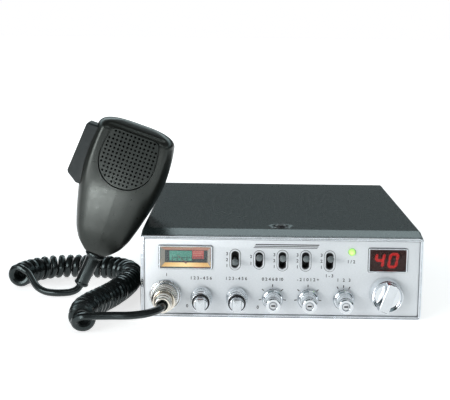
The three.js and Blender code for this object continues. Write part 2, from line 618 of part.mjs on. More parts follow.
// ---------------------------------------------------------------- cord
const PLUG_LEAD = [
  [-82.3, -20.6, 16.1], [-82.3, -31, 16], [-84.5, -38.5, 15.5], [-91, -44.5, 14.6], [-102, -47, 13.6],
  [-116, -47, 13.2], [-128, -47.6, 13], [-138, -49.2, 12.4], [-145.5, -50.6, 10.2],
];
const CURL = [
  [-135.2, -43.8, 9.7], [-137, -34, 9.7], [-137.6, -20, 9.7], [-134.6, -6, 9.7], [-129.6, 7, 9.7],
  [-123.6, 24, 9.7], [-118.6, 44, 9.7], [-115.4, 64, 9.7], [-115, 84, 9.7], [-119.6, 99, 9.7],
  [-131, 110, 9.7], [-146, 115, 9.7], [-163, 115.6, 9.7], [-179, 112.4, 9.7], [-191.4, 103.4, 9.7],
  [-199.6, 90.6, 9.7], [-203.6, 76.6, 9.7],
];
const MIC_LEAD = [
  [-152.1, 60, 5.6], [-154.8, 58, 3.6], [-159.4, 54.6, 2.95], [-165.2, 52.6, 2.95], [-172, 53.4, 2.95],
  [-179.6, 57, 3.4], [-186.4, 61.4, 6], [-192.4, 65.4, 11], [-197.4, 68, 15.4], [-203, 69.4, 17.2],
  [-209, 70, 15.6],
];

function cord() {
  addPart(radio, 'cord_plug_lead', tube(PLUG_LEAD, CORD_RADIUS, 12, 8), 'rubber');
  addPart(radio, 'cord_curl', tube(CURL, CURL_RADIUS, 28, 10), 'rubber');
  addPart(radio, 'cord_mic_lead', tube(MIC_LEAD, CORD_RADIUS, 12, 8), 'rubber');
}

// ---------------------------------------------------------------- assembly
addPart(radio, 'top_cover', topCover(), 'paint');
addPart(radio, 'bottom_cover', bottomCover(), 'paint');
addPart(radio, 'chassis', chassis(), 'steel');
addPart(radio, 'cover_screw_top', topScrew(), 'blackPlastic');
for (const { name, side, y } of SIDE_SCREWS) addPart(radio, name, sideScrew(side, y), 'blackPlastic');
addPart(radio, 'fascia_panel', fasciaPanel(), 'brushed');
addPart(radio, 'fascia_trim', fasciaTrim(), 'chrome');
instruments();
SWITCHES.forEach(switchLever);
addPart(radio, 'switch_board', switchBoard(), 'board');
controls();
channelSelector();
micConnector();
inside();
rearSockets();
handMicrophone();
cord();

const model = new THREE.Group();
model.add(radio);

export default model;
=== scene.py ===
# Looks of a mobile transceiver with its hand microphone and curly cord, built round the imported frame.
# Shapes are worked out in millimetres, with Y measured from the front panel, and put in the frame in metres.
import json
import math

import bmesh
import bpy
import numpy as np
from mathutils import Matrix, Vector


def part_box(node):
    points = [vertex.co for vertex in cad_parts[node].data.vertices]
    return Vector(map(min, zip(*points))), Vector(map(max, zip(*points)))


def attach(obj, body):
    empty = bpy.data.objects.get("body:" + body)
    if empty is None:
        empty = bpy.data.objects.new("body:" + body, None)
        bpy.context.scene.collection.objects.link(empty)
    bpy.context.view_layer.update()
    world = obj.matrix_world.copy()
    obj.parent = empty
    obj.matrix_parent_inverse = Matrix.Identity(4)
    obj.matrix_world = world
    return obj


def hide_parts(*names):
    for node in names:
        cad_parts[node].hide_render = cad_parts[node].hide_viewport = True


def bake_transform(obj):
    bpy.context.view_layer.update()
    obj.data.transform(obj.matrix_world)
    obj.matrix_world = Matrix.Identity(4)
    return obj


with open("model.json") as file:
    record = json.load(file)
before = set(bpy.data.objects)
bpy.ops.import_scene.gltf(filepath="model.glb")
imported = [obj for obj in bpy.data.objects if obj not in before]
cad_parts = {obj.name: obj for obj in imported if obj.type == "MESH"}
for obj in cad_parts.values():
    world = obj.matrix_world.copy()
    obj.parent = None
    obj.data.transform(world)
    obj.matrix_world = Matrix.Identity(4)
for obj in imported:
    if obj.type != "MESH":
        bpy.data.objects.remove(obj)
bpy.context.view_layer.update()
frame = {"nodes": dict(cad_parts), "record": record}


def turn(degrees, axis):
    return Matrix.Rotation(math.radians(degrees), 4, axis)


def put(name, data):
    """A new object in the scene."""
    made = bpy.data.objects.new(name, data)
    bpy.context.scene.collection.objects.link(made)
    return made


MM = 0.001
CASE_DEPTH = 235
PANEL_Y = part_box("bottom_cover")[1].y / MM - CASE_DEPTH
TO_FRAME = Matrix.Scale(MM, 4) @ Matrix.Translation((0, PANEL_Y, 0))

# ---------------------------------------------------------------- driving sizes, in millimetres
CASE_WIDTH = 200
FASCIA_HEIGHT = 59.5
COVER_TOP = 61.8
COVER_SLOPE = 13
COVER_FRONT = 1.8
SHEET = 1.2
SEAM_Z = 24
EDGE_RADIUS = 2
BRACKET_Z = 38
TRIM = 2.5
DIMPLE = {"y": 26, "radius": 9.4, "floor": 6.5, "depth": 1.5}
KNOB_Z = 15
KNOB_X = [-56.5 + 25.2 * i for i in range(5)]
CHANNEL = {"x": 74.3, "z": 19, "radius": 11.8, "lean": 20}
SOCKET = {"x": -82.3, "z": 16.1}
SWITCHES = [(-32.9, 42.4, 0), (-15.9, 42.4, 1), (0.6, 42.1, 1), (17.0, 42.1, 1), (34.0, 42.1, 1)]
SWITCH_PIVOT_Y = 4.5
SWITCH_THROW = 14
METER = {"x": -68.05, "z": 43.8, "w": 38.1, "h": 17.1}
DISPLAY = {"x": 75.05, "z": 43.3, "w": 27.5, "h": 17.4}
LAMP = {"x": 49.7, "z": 48.8}

MIC_FOOT = (-139.3, 60, 34.3)
MIC_TILT = 19.2
MIC_ROLL = 1.5
BOOT_LEAN = 6
TO_MIC = TO_FRAME @ Matrix.Translation(MIC_FOOT) @ turn(MIC_TILT, "Y") @ turn(MIC_ROLL, "Z")

CORD_RADIUS = 2.75
CURL_MEAN = 6.7

# ---------------------------------------------------------------- camera
CAMERA_PLACE = (-30.5, -750.2, 209.1)
CAMERA_YAW = 0.764
CAMERA_DOWN = 9.386
CAMERA_ROLL = 0.576

camera_data = bpy.data.cameras.new("camera")
camera_data.lens = 86.67
camera_data.sensor_width = 36
camera_data.clip_end = 50
camera = put("camera", camera_data)
camera.matrix_world = (Matrix.Translation(TO_FRAME @ Vector(CAMERA_PLACE)) @ turn(CAMERA_YAW, "Z")
                       @ turn(90 - CAMERA_DOWN, "X") @ turn(CAMERA_ROLL, "Z"))
bpy.context.scene.camera = camera


# ---------------------------------------------------------------- materials
def principled(material):
    return material.node_tree.nodes["Principled BSDF"]


def shader(name, color, roughness=0.5, metallic=0.0, **sockets):
    material = bpy.data.materials.new(name)
    material.use_nodes = True
    inputs = principled(material).inputs
    inputs["Base Color"].default_value = (*color, 1)
    inputs["Roughness"].default_value = roughness
    inputs["Metallic"].default_value = metallic
    for socket, value in sockets.items():
        inputs[socket.replace("_", " ")].default_value = value
    return material


def node(material, kind, **settings):
    made = material.node_tree.nodes.new(kind)
    for key, value in settings.items():
        if key in made.inputs:
            made.inputs[key].default_value = value
        else:
            setattr(made, key, value)
    return made


def link(material, source, target):
    material.node_tree.links.new(source, target)


def noise(material, scale, stretch, detail=4.0):
    place = node(material, "ShaderNodeTexCoord")
    mapping = node(material, "ShaderNodeMapping", Scale=stretch)
    texture = node(material, "ShaderNodeTexNoise", Scale=scale, Detail=detail)
    link(material, place.outputs["Object"], mapping.inputs["Vector"])
    link(material, mapping.outputs["Vector"], texture.inputs["Vector"])
    return texture.outputs["Fac"]


def ramp(material, value, low, high, start=0.3, stop=0.7):
    """A value between start and stop, spread over low to high."""
    limits = {"From Min": start, "From Max": stop, "To Min": low, "To Max": high}
    made = node(material, "ShaderNodeMapRange", **limits)
    link(material, value, made.inputs["Value"])
    return made.outputs["Result"]


def blend_colors(material, value, low, high):
    mix = node(material, "ShaderNodeMix", data_type="RGBA")
    mix.inputs["A"].default_value = (*low, 1)
    mix.inputs["B"].default_value = (*high, 1)
    link(material, value, mix.inputs["Factor"])
    return next(output for output in mix.outputs if output.type == "RGBA")


def mottle(material, low, high, scale, stretch=(1, 1, 1)):
    """The colour wanders between two near shades."""
    value = ramp(material, noise(material, scale, stretch), 0, 1)
    link(material, blend_colors(material, value, low, high), principled(material).inputs["Base Color"])


def vary_roughness(material, low, high, scale, stretch=(1, 1, 1)):
    value = ramp(material, noise(material, scale, stretch), low, high)
    link(material, value, principled(material).inputs["Roughness"])


def grain(material, scale, depth, strength=0.4, stretch=(1, 1, 1), detail=3.0):
    """Fine surface relief; depth is in millimetres."""
    bump = node(material, "ShaderNodeBump", Strength=strength, Distance=depth * MM)
    link(material, noise(material, scale, stretch, detail), bump.inputs["Height"])
    link(material, bump.outputs["Normal"], principled(material).inputs["Normal"])


def glow(material, color, strength):
    shade = principled(material)
    shade.inputs["Emission Color"].default_value = (*color, 1)
    shade.inputs["Emission Strength"].default_value = strength


def distance_from(material, centre):
    """How far a point of the surface is from a centre, in metres."""
    place = node(material, "ShaderNodeTexCoord")
    away = node(material, "ShaderNodeVectorMath", operation="DISTANCE")
    away.inputs[1].default_value = centre
    link(material, place.outputs["Object"], away.inputs[0])
    return away.outputs["Value"]


def spot_glow(material, centre, reach, inner, outer, strength):
    """Light from within: its colour runs from inner at a point to outer at the reach, in millimetres."""
    value = ramp(material, distance_from(material, TO_FRAME @ Vector(centre)), 0, 1, 0, reach * MM)
    link(material, blend_colors(material, value, inner, outer), principled(material).inputs["Emission Color"])
    principled(material).inputs["Emission Strength"].default_value = strength


COOL_SHEEN = (0.82, 1.0, 1.02, 1)
GREEN_SHEEN = (0.92, 1.0, 0.96, 1)


def paint_material():
    made = shader("case_paint", (0.05, 0.058, 0.056), 0.45, Specular_IOR_Level=0.32, Specular_Tint=COOL_SHEEN)
    mottle(made, (0.01, 0.016, 0.016), (0.014, 0.021, 0.021), 900)
    vary_roughness(made, 0.26, 0.31, 700)
    grain(made, 1600, 0.02, 0.25)
    return made


def brushed_material():
    made = shader("brushed_panel", (0.72, 0.76, 0.8), 0.5, 0.4)
    mottle(made, (0.68, 0.71, 0.735), (0.75, 0.78, 0.805), 2400, (0.3, 1, 1))
    vary_roughness(made, 0.54, 0.62, 2600, (0.2, 1, 1))
    grain(made, 4200, 0.012, 0.3, (0.25, 1, 1))
    return made


def chrome_material(name, tint, roughness):
    made = shader(name, tint, roughness, 1.0)
    mottle(made, tuple(0.93 * c for c in tint), tint, 250)
    vary_roughness(made, roughness * 0.85, roughness * 1.4, 400)
    grain(made, 700, 0.006, 0.12)
    return made


def plastic_material(name, low, high, roughness, relief=0.06, scale=2600, **sockets):
    made = shader(name, high, roughness, **sockets)
    mottle(made, low, high, 90)
    vary_roughness(made, roughness * 0.88, roughness * 1.15, 350)
    grain(made, scale, relief, 0.45)
    return made


GLASS_ROUGHNESS = 0.06


def glass_material(name, color, alpha):
    made = shader(name, color, GLASS_ROUGHNESS, Alpha=alpha, Specular_IOR_Level=0.2)
    vary_roughness(made, GLASS_ROUGHNESS * 0.8, GLASS_ROUGHNESS * 1.6, 300)
    return made


# tint, roughness
METALS = {
    "chrome": ((0.74, 0.77, 0.8), 0.08),
    "satin_metal": ((0.68, 0.71, 0.74), 0.17),
    "nickel": ((0.78, 0.74, 0.67), 0.17),
    "plated_steel": ((0.62, 0.63, 0.64), 0.32),
    "aluminium": ((0.72, 0.73, 0.75), 0.38),
}
# two shades, roughness, relief in millimetres, scale of the relief
PLASTICS = {
    "bright_insert": ((0.56, 0.58, 0.6), (0.68, 0.7, 0.72), 0.3, 0.01),
    "black_screw": ((0.012, 0.012, 0.013), (0.02, 0.02, 0.022), 0.3, 0.02),
    "black_plastic": ((0.012, 0.012, 0.013), (0.022, 0.022, 0.024), 0.42),
    "mic_plastic": ((0.008, 0.009, 0.008), (0.011, 0.0125, 0.011), 0.31, 0.014, 2200),
    "grille_plastic": ((0.012, 0.014, 0.013), (0.02, 0.023, 0.021), 0.37, 0.03),
    "grille_cloth": ((0.001, 0.001, 0.001), (0.003, 0.003, 0.003), 0.9, 0.02),
    "ptt_plastic": ((0.013, 0.017, 0.018), (0.018, 0.024, 0.025), 0.5, 0.06),
    "grey_plastic": ((0.1, 0.12, 0.125), (0.15, 0.175, 0.18), 0.35, 0.03),
    "cord_rubber": ((0.006, 0.007, 0.007), (0.012, 0.014, 0.014), 0.22, 0.02, 1500),
    "print_black": ((0.02, 0.02, 0.022), (0.035, 0.035, 0.04), 0.6, 0.01),
    "circuit_board": ((0.03, 0.14, 0.06), (0.05, 0.2, 0.09), 0.45),
    "display_digits": ((0.06, 0.025, 0.024), (0.09, 0.035, 0.032), 0.5),
    "needle_red": ((0.1, 0.04, 0.03), (0.15, 0.06, 0.05), 0.4),
    "meter_dark": ((0.02, 0.028, 0.034), (0.035, 0.048, 0.056), 0.5, 0.02),
    "scale_teal": ((0.06, 0.27, 0.21), (0.09, 0.34, 0.27), 0.5, 0.02, 900),
    "scale_red": ((0.45, 0.07, 0.07), (0.56, 0.1, 0.09), 0.5, 0.02, 900),
    "scale_amber": ((0.85, 0.5, 0.15), (0.95, 0.7, 0.3), 0.4, 0.02, 900),
    "scale_pink": ((0.5, 0.22, 0.16), (0.62, 0.32, 0.25), 0.4, 0.02, 900),
    "meter_bezel": ((0.36, 0.35, 0.33), (0.48, 0.47, 0.44), 0.22, 0.01),
}
SHEEN = {
    "mic_plastic": {"Specular_IOR_Level": 0.55, "Specular_Tint": GREEN_SHEEN},
    "grille_plastic": {"Specular_Tint": GREEN_SHEEN},
    "grille_cloth": {"Specular_IOR_Level": 0},
    "ptt_plastic": {"Specular_IOR_Level": 0.3},
    "cord_rubber": {"Specular_Tint": COOL_SHEEN},
    "meter_dark": {"Specular_IOR_Level": 0.15},
    "scale_teal": {"Specular_IOR_Level": 0.15},
    "scale_red": {"Specular_IOR_Level": 0.15},
}
LOOKS = {
    "case_paint": paint_material(),
    "brushed_panel": brushed_material(),
    "meter_glass": glass_material("meter_glass", (0.6, 0.66, 0.65), 0.06),
    "display_glass": glass_material("display_glass", (0.05, 0.028, 0.026), 0.5),
    "lit_segment": shader("lit_segment", (0.8, 0.03, 0.03), 0.4),
    "lamp_green": shader("lamp_green", (0.5, 0.8, 0.15), 0.25),
}
LOOKS.update((name, chrome_material(name, *row)) for name, row in METALS.items())
LOOKS.update((name, plastic_material(name, *row, **SHEEN.get(name, {}))) for name, row in PLASTICS.items())
glow(LOOKS["lit_segment"], (1.0, 0.03, 0.03), 1.3)
spot_glow(LOOKS["scale_amber"], (METER["x"] - 1, 1, METER["z"] - 6.4), 15,
          (1.0, 0.78, 0.42), (0.4, 0.2, 0.06), 0.6)
spot_glow(LOOKS["lamp_green"], (LAMP["x"], -2.5, LAMP["z"]), 3.4, (0.7, 1.0, 0.5), (0.12, 0.6, 0.04), 0.6)


# ---------------------------------------------------------------- mesh helpers
def piece(name, mesh, look, *stands_for, body="root", to=TO_FRAME, slot=None, smooth=35):
    """A mesh in millimetres becomes a piece that rides on a body and stands for nodes of the CAD."""
    mesh.transform(to)
    mesh.shade_smooth()
    mesh.set_sharp_from_angle(angle=math.radians(smooth))
    mesh.materials.clear()
    mesh.materials.append(LOOKS[look])
    made = put(name, mesh)
    if body:
        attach(made, body)
    if stands_for:
        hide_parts(*stands_for)
    return made


def mesh_from(vertices, faces):
    mesh = bpy.data.meshes.new("shape")
    mesh.from_pydata([tuple(v) for v in vertices], [], faces)
    work = bmesh.new()
    work.from_mesh(mesh)
    bmesh.ops.remove_doubles(work, verts=work.verts, dist=1e-5)
    bmesh.ops.recalc_face_normals(work, faces=work.faces)
    work.to_mesh(mesh)
    work.free()
    return mesh


def skin(rings, closed=False, caps=True):
    """Joins rings of equally many points; caps closes the two ends."""
    count = len(rings[0])
    vertices = [point for ring in rings for point in ring]
    faces = []
    for r in range(len(rings) if closed else len(rings) - 1):
        base, after = r * count, ((r + 1) % len(rings)) * count
        faces += [(base + i, base + (i + 1) % count, after + (i + 1) % count, after + i) for i in range(count)]
    if caps and not closed:
        faces.append(tuple(range(count)))
        faces.append(tuple((len(rings) - 1) * count + i for i in range(count)))
    return mesh_from(vertices, faces)


def softened(profile, radius=0.35, steps=3, closed=False):
    """Rounds the corners of a profile of (radius, y[, flute]) entries."""
    result = []
    count = len(profile)
    for i, corner in enumerate(profile):
        if not closed and i in (0, count - 1):
            result.append(corner)
            continue
        here = np.array(corner[:2], float)
        before = np.array(profile[i - 1][:2], float)
        after = np.array(profile[(i + 1) % count][:2], float)
        reach = min(radius, 0.45 * np.linalg.norm(before - here), 0.45 * np.linalg.norm(after - here))
        start = here + (before - here) / np.linalg.norm(before - here) * reach
        stop = here + (after - here) / np.linalg.norm(after - here) * reach
        for t in np.linspace(0, 1, steps + 1):
            point = (1 - t) ** 2 * start + 2 * t * (1 - t) * here + t ** 2 * stop
            result.append((point[0], point[1], *corner[2:]))
    return result


def turned(profile, segments=64, flutes=0, closed=False, radius=0.35):
    """A piece turned about Y. A third number in a profile entry is the depth of the flutes there."""
    rings = []
    for entry in softened(profile, radius, closed=closed):
        flute = entry[2] if len(entry) > 2 else 0
        ring = []
        for i in range(segments):
            angle = 2 * math.pi * i / segments
            r = max(entry[0] - flute * (0.5 - 0.5 * math.cos(flutes * angle)), 0)
            ring.append((r * math.cos(angle), entry[1], r * math.sin(angle)))
        rings.append(ring)
    return skin(rings, closed=closed, caps=False)


def drum(radius, y0, y1, segments, edge=0.35):
    """A solid cylinder along Y; edge is the rounding of its rims."""
    return turned([(0, y0), (radius, y0), (radius, y1), (0, y1)], segments, radius=edge)


def shifted(mesh, x=0, y=0, z=0, matrix=None):
    if matrix is not None:
        mesh.transform(matrix)
    mesh.transform(Matrix.Translation((x, y, z)))
    return mesh


def rounded_rect(x, z, w, h, r, steps=6):
    r = max(min(r, w / 2 - 0.01, h / 2 - 0.01), 0.02)
    points = []
    for corner, (sx, sz) in enumerate(((1, 1), (-1, 1), (-1, -1), (1, -1))):
        for i in range(steps + 1):
            angle = math.pi / 2 * (corner + i / steps)
            points.append((x + sx * (w / 2 - r) + r * math.cos(angle),
                           z + sz * (h / 2 - r) + r * math.sin(angle)))
    return points


def rounded_rings(x, z, w, h, r, profile, steps):
    """One rounded rectangle for each (inset, y) of a profile."""
    rings = []
    for inset, y in profile:
        outline = rounded_rect(x, z, w - 2 * inset, h - 2 * inset, r - inset, steps)
        rings.append([(px, y, pz) for px, pz in outline])
    return rings


def plate(x, z, w, h, r, y0, y1, bevel=0.25, steps=6):
    """A rounded plate with softened front and back edges."""
    profile = [(bevel, y0), (bevel * 0.3, y0 + bevel * 0.3), (0, y0 + bevel),
               (0, y1 - bevel), (bevel * 0.3, y1 - bevel * 0.3), (bevel, y1)]
    return skin(rounded_rings(x, z, w, h, r, profile, steps))


def surround(x, z, w, h, r, profile, steps=6, radius=0.2):
    """A frame: the profile of (inset, y) points runs round a rounded rectangle."""
    return skin(rounded_rings(x, z, w, h, r, softened(profile, radius, closed=True), steps), closed=True)


def prism(outline, y0, y1, bevel, inset_outline=None):
    """An outline of (x, z) points carried along Y; its ends shrink to inset_outline over the bevel."""
    inner = inset_outline or outline
    rings = [[(x, y0, z) for x, z in inner], [(x, y0 + bevel, z) for x, z in outline],
             [(x, y1 - bevel, z) for x, z in outline], [(x, y1, z) for x, z in inner]]
    return skin(rings)


def box(x0, x1, y0, y1, z0, z1, bevel=0.0):
    work = bmesh.new()
    bmesh.ops.create_cube(work, size=1)
    bmesh.ops.scale(work, vec=(x1 - x0, y1 - y0, z1 - z0), verts=work.verts)
    bmesh.ops.translate(work, vec=((x0 + x1) / 2, (y0 + y1) / 2, (z0 + z1) / 2), verts=work.verts)
    if bevel:
        bmesh.ops.bevel(work, geom=list(work.edges), offset=bevel, segments=2, affect="EDGES")
    mesh = bpy.data.meshes.new("box")
    work.to_mesh(mesh)
    work.free()
    return mesh


def joined(meshes):
    work = bmesh.new()
    for mesh in meshes:
        work.from_mesh(mesh)
        bpy.data.meshes.remove(mesh)
    result = bpy.data.meshes.new("joined")
    work.to_mesh(result)
    work.free()
    return result


def triangulate(mesh):
    work = bmesh.new()
    work.from_mesh(mesh)
    bmesh.ops.triangulate(work, faces=work.faces)
    work.to_mesh(mesh)
    work.free()


def carved(mesh, cutter):
    """A mesh with a cutter taken out of it; both are used up."""
    objects = [put("boolean", data) for data in (mesh, cutter)]
    modifier = objects[0].modifiers.new("cut", "BOOLEAN")
    modifier.operation = "DIFFERENCE"
    modifier.solver = "EXACT"
    modifier.object = objects[1]
    bpy.context.view_layer.update()
    evaluated = objects[0].evaluated_get(bpy.context.evaluated_depsgraph_get())
    result = bpy.data.meshes.new_from_object(evaluated)
    for made in objects:
        data = made.data
        bpy.data.objects.remove(made)
        bpy.data.meshes.remove(data)
    return result


def distances(path):
    """How far along a path each of its points is."""
    return np.concatenate([[0], np.cumsum(np.linalg.norm(np.diff(path, axis=0), axis=1))])


def read_off(places, along, rows):
    """Rows given at distances along a path, read off at other places on it."""
    return np.stack([np.interp(places, along, column) for column in rows.T], axis=1)


def spline(points, spacing):
    """Points at even spacing on a centripetal Catmull-Rom curve."""
    points = np.array(points, float)
    points = np.vstack([2 * points[0] - points[1], points, 2 * points[-1] - points[-2]])
    dense = []
    for i in range(1, len(points) - 2):
        p0, p1, p2, p3 = points[i - 1:i + 3]
        t1 = max(np.linalg.norm(p1 - p0), 1e-6) ** 0.5
        t2 = t1 + max(np.linalg.norm(p2 - p1), 1e-6) ** 0.5
        t3 = t2 + max(np.linalg.norm(p3 - p2), 1e-6) ** 0.5
        for t in np.linspace(t1, t2, 12, endpoint=False):
            a1 = (t1 - t) / t1 * p0 + t / t1 * p1
            a2 = (t2 - t) / (t2 - t1) * p1 + (t - t1) / (t2 - t1) * p2
            a3 = (t3 - t) / (t3 - t2) * p2 + (t - t2) / (t3 - t2) * p3
            b1 = (t2 - t) / t2 * a1 + t / t2 * a2
            b2 = (t3 - t) / (t3 - t1) * a2 + (t - t1) / (t3 - t1) * a3
            dense.append((t2 - t) / (t2 - t1) * b1 + (t - t1) / (t2 - t1) * b2)
    dense = np.array([*dense, points[-2]])
    along = distances(dense)
    places = np.linspace(0, along[-1], max(int(round(along[-1] / spacing)), 2) + 1)
    return read_off(places, along, dense)


def eased(path, place, reach=11, passes=16):
    """A path whose bend around one place is evened out, less and less towards the reach."""
    path = path.copy()
    near = int(np.argmin(np.linalg.norm(path - place, axis=1))) + np.arange(-reach, reach + 1)
    weight = 0.25 + 0.25 * np.cos(np.pi * np.arange(-reach, reach + 1) / reach)
    for _ in range(passes):
        mean = (path[near - 1] + path[near + 1]) / 2
        path[near] += weight[:, None] * (mean - path[near])
    return path


def route_length(path):
    return float(np.linalg.norm(np.diff(path, axis=0), axis=1).sum())


def frames_along(path):
    """Tangent and a normal that doesn't twist, at each point."""
    tangents = np.gradient(path, axis=0)
    tangents /= np.linalg.norm(tangents, axis=1)[:, None]
    normal = np.cross(tangents[0], (0, 0, 1.0))
    if np.linalg.norm(normal) < 0.1:
        normal = np.cross(tangents[0], (1.0, 0, 0))
    normals = []
    for tangent in tangents:
        normal = normal - tangent * np.dot(normal, tangent)
        normal /= np.linalg.norm(normal)
        normals.append(normal)
    return tangents, np.array(normals)


def hose(path, radius, sides):
    """A round tube along a path, closed flat at both ends."""
    tangents, normals = frames_along(path)
    rings = []
    for point, tangent, normal in zip(path, tangents, normals):
        side = np.cross(tangent, normal)
        ring = []
        for i in range(sides):
            angle = 2 * math.pi * i / sides
            ring.append(point + radius * (math.cos(angle) * normal + math.sin(angle) * side))
        rings.append(ring)
    return skin(rings)


# ---------------------------------------------------------------- cord
PLUG_LEAD = [
    (-82.3, -20.6, 16.1), (-82.3, -31, 16), (-84.5, -38.5, 15.5), (-91, -44.5, 14.6), (-102, -47, 13.6),
    (-116, -47, 13.2), (-128, -47.6, 13), (-136, -48.6, 12.6), (-140.2, -47.2, 10.6),
]
CURL = [
    (-135.2, -43.8, 9.7), (-137, -34, 9.7), (-137.6, -20, 9.7), (-134.6, -6, 9.7), (-129.6, 7, 9.7),
    (-123.6, 24, 9.7), (-118.6, 44, 9.7), (-115.4, 64, 9.7), (-115, 84, 9.7), (-119.6, 99, 9.7),
    (-131, 110, 9.7), (-146, 115, 9.7), (-163, 115.6, 9.7), (-179, 112.4, 9.7), (-191.4, 103.4, 9.7),
    (-199.6, 90.6, 9.7), (-203.6, 76.6, 9.7),
]
MIC_LEAD = [
    (-149.5, 60.35, 12.6), (-151.8, 60.3, 7.7), (-154.3, 58.9, 4.5), (-158.6, 55.9, 3.0), (-164.4, 53.6, 2.8),
    (-171, 53.2, 2.8), (-178.4, 55.6, 3.2), (-185, 59.6, 5.6),
]
HELIX_START = math.radians(200)
HELIX_END = math.radians(125)
TIGHT_PITCH = 5.62
LOOSE_FRONT = {"reach": 26, "extra": 2.6}
LOOSE_BACK = {"from": 170, "to": 250, "extra": 0.3}
LINE_STEP = 0.5
BEND_WINDOW = 20
POINTS_PER_TURN = 22
HOSE_STEP = 1.25
END_LEAD = 5


def curl_path():
    """The curly stretch: turns lie side by side, opened where the cord bends and near its front end."""
    line = spline(CURL, LINE_STEP)
    tangents, _ = frames_along(line)
    along = distances(line)
    bend = np.linalg.norm(np.gradient(tangents, along, axis=0), axis=1)
    window = 2 * BEND_WINDOW + 1
    bend = np.convolve(np.pad(bend, BEND_WINDOW, mode="edge"), np.ones(window) / window, mode="valid")
    pitch = TIGHT_PITCH / (1 - CURL_MEAN * bend)
    pitch += LOOSE_FRONT["extra"] * np.clip(1 - along / LOOSE_FRONT["reach"], 0, 1)
    middle = (LOOSE_BACK["from"] + LOOSE_BACK["to"]) / 2
    half = (LOOSE_BACK["to"] - LOOSE_BACK["from"]) / 2
    pitch += LOOSE_BACK["extra"] * np.clip(1 - ((along - middle) / half) ** 2, 0, 1)
    phase = HELIX_START + np.concatenate([[0], np.cumsum(2 * math.pi * np.diff(along) / pitch[1:])])
    last = HELIX_END + 2 * math.pi * math.floor((phase[-1] - HELIX_END) / (2 * math.pi))
    steps = np.linspace(phase[0], last, int((last - phase[0]) / (2 * math.pi) * POINTS_PER_TURN))
    places = np.interp(steps, phase, along)
    centre = read_off(places, along, line)
    tangent = read_off(places, along, tangents)
    side = np.cross(tangent, (0, 0, 1.0))
    side /= np.linalg.norm(side, axis=1)[:, None]
    up = np.cross(side, tangent)
    return centre + CURL_MEAN * (np.cos(steps)[:, None] * side + np.sin(steps)[:, None] * up)


def make_cords():
    """The mesh and the path of the cord from the plug to the end of the curl, and of the microphone's lead."""
    curl = curl_path()
    whole = eased(spline(np.vstack([PLUG_LEAD, curl]), HOSE_STEP), curl[0])
    plug_cord = hose(whole, CORD_RADIUS, 10)
    leaving = (curl[-1] - curl[-2]) / np.linalg.norm(curl[-1] - curl[-2])
    mic_path = spline(np.vstack([MIC_LEAD, curl[-1] + END_LEAD * leaving, curl[-1]]), HOSE_STEP)
    mic_cord = hose(mic_path, CORD_RADIUS, 14)
    print("cord lengths mm", route_length(whole), route_length(mic_path))
    return plug_cord, whole, mic_cord, mic_path


plug_cord_mesh, plug_cord_path, mic_cord_mesh, mic_cord_path = make_cords()
curly_cord = piece("curly_cord", plug_cord_mesh, "cord_rubber", "cord_plug_lead", "cord_curl", body=None)
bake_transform(curly_cord)
microphone_lead = piece("microphone_lead", mic_cord_mesh, "cord_rubber", "cord_mic_lead", body="microphone")


# ---------------------------------------------------------------- case
def smooth_step(value):
    t = min(max(value, 0), 1)
    return t * t * (3 - 2 * t)


def bent_sheet(outline, stations, lift):
    """A folded sheet: the outline of (x, z, inward x, inward z) points runs across, the stations along Y."""
    rings = []
    for y in stations:
        outer = [(x, y, z + lift(x, y, z)) for x, z, _, _ in outline]
        inner = [(x + SHEET * nx, y, z + SHEET * nz + lift(x, y, z)) for x, z, nx, nz in outline]
        rings.append(outer + inner[::-1])
    return skin(rings)


def u_outline(low, high, spread):
    """The wrap of a cover: up the left side, over, and down the right side."""
    half, r = CASE_WIDTH / 2, EDGE_RADIUS
    points = [(-half, low, 1, 0), (-half, high - r, 1, 0)]
    for i in range(1, 7):
        angle = math.pi / 2 * i / 6
        points.append((-half + r - r * math.cos(angle), high - r + r * math.sin(angle),
                       math.cos(angle), -math.sin(angle)))
    points += [(x, high, 0, -1) for x in spread]
    points += [(-x, z, -nx, nz) for x, z, nx, nz in reversed(points[:8])]
    return points


def top_cover():
    spread = sorted({-90, -60, -30, 30, 60, 90} | {i * 1.0 for i in range(-12, 13)})
    fine = [DIMPLE["y"] + i for i in range(-11, 12)]
    band = [COVER_FRONT, COVER_FRONT + 0.4, 8, COVER_FRONT + COVER_SLOPE - 1.2, COVER_FRONT + COVER_SLOPE - 0.4]
    stations = band + [y for y in fine if y > 15] + [50, 90, 130, 170, 210, CASE_DEPTH - 0.4, CASE_DEPTH]

    def lift(x, y, z):
        drop = 0.0
        if z > FASCIA_HEIGHT - 4:
            t = min(max((COVER_FRONT + COVER_SLOPE - y) / COVER_SLOPE, 0), 1)
            drop = (COVER_TOP - FASCIA_HEIGHT) * t
        away = math.hypot(x, y - DIMPLE["y"])
        sunk = smooth_step((DIMPLE["radius"] - away) / (DIMPLE["radius"] - DIMPLE["floor"]))
        return -drop - DIMPLE["depth"] * sunk

    mesh = bent_sheet(u_outline(SEAM_Z + 0.3, COVER_TOP, spread), stations, lift)
    holes = joined([shifted(drum(2.6, -8, 8, 24), matrix=turn(90, "Z"), x=side * CASE_WIDTH / 2,
                            y=CASE_DEPTH / 2, z=BRACKET_Z) for side in (-1, 1)])
    piece("case_top", carved(mesh, holes), "case_paint", "top_cover", smooth=28)


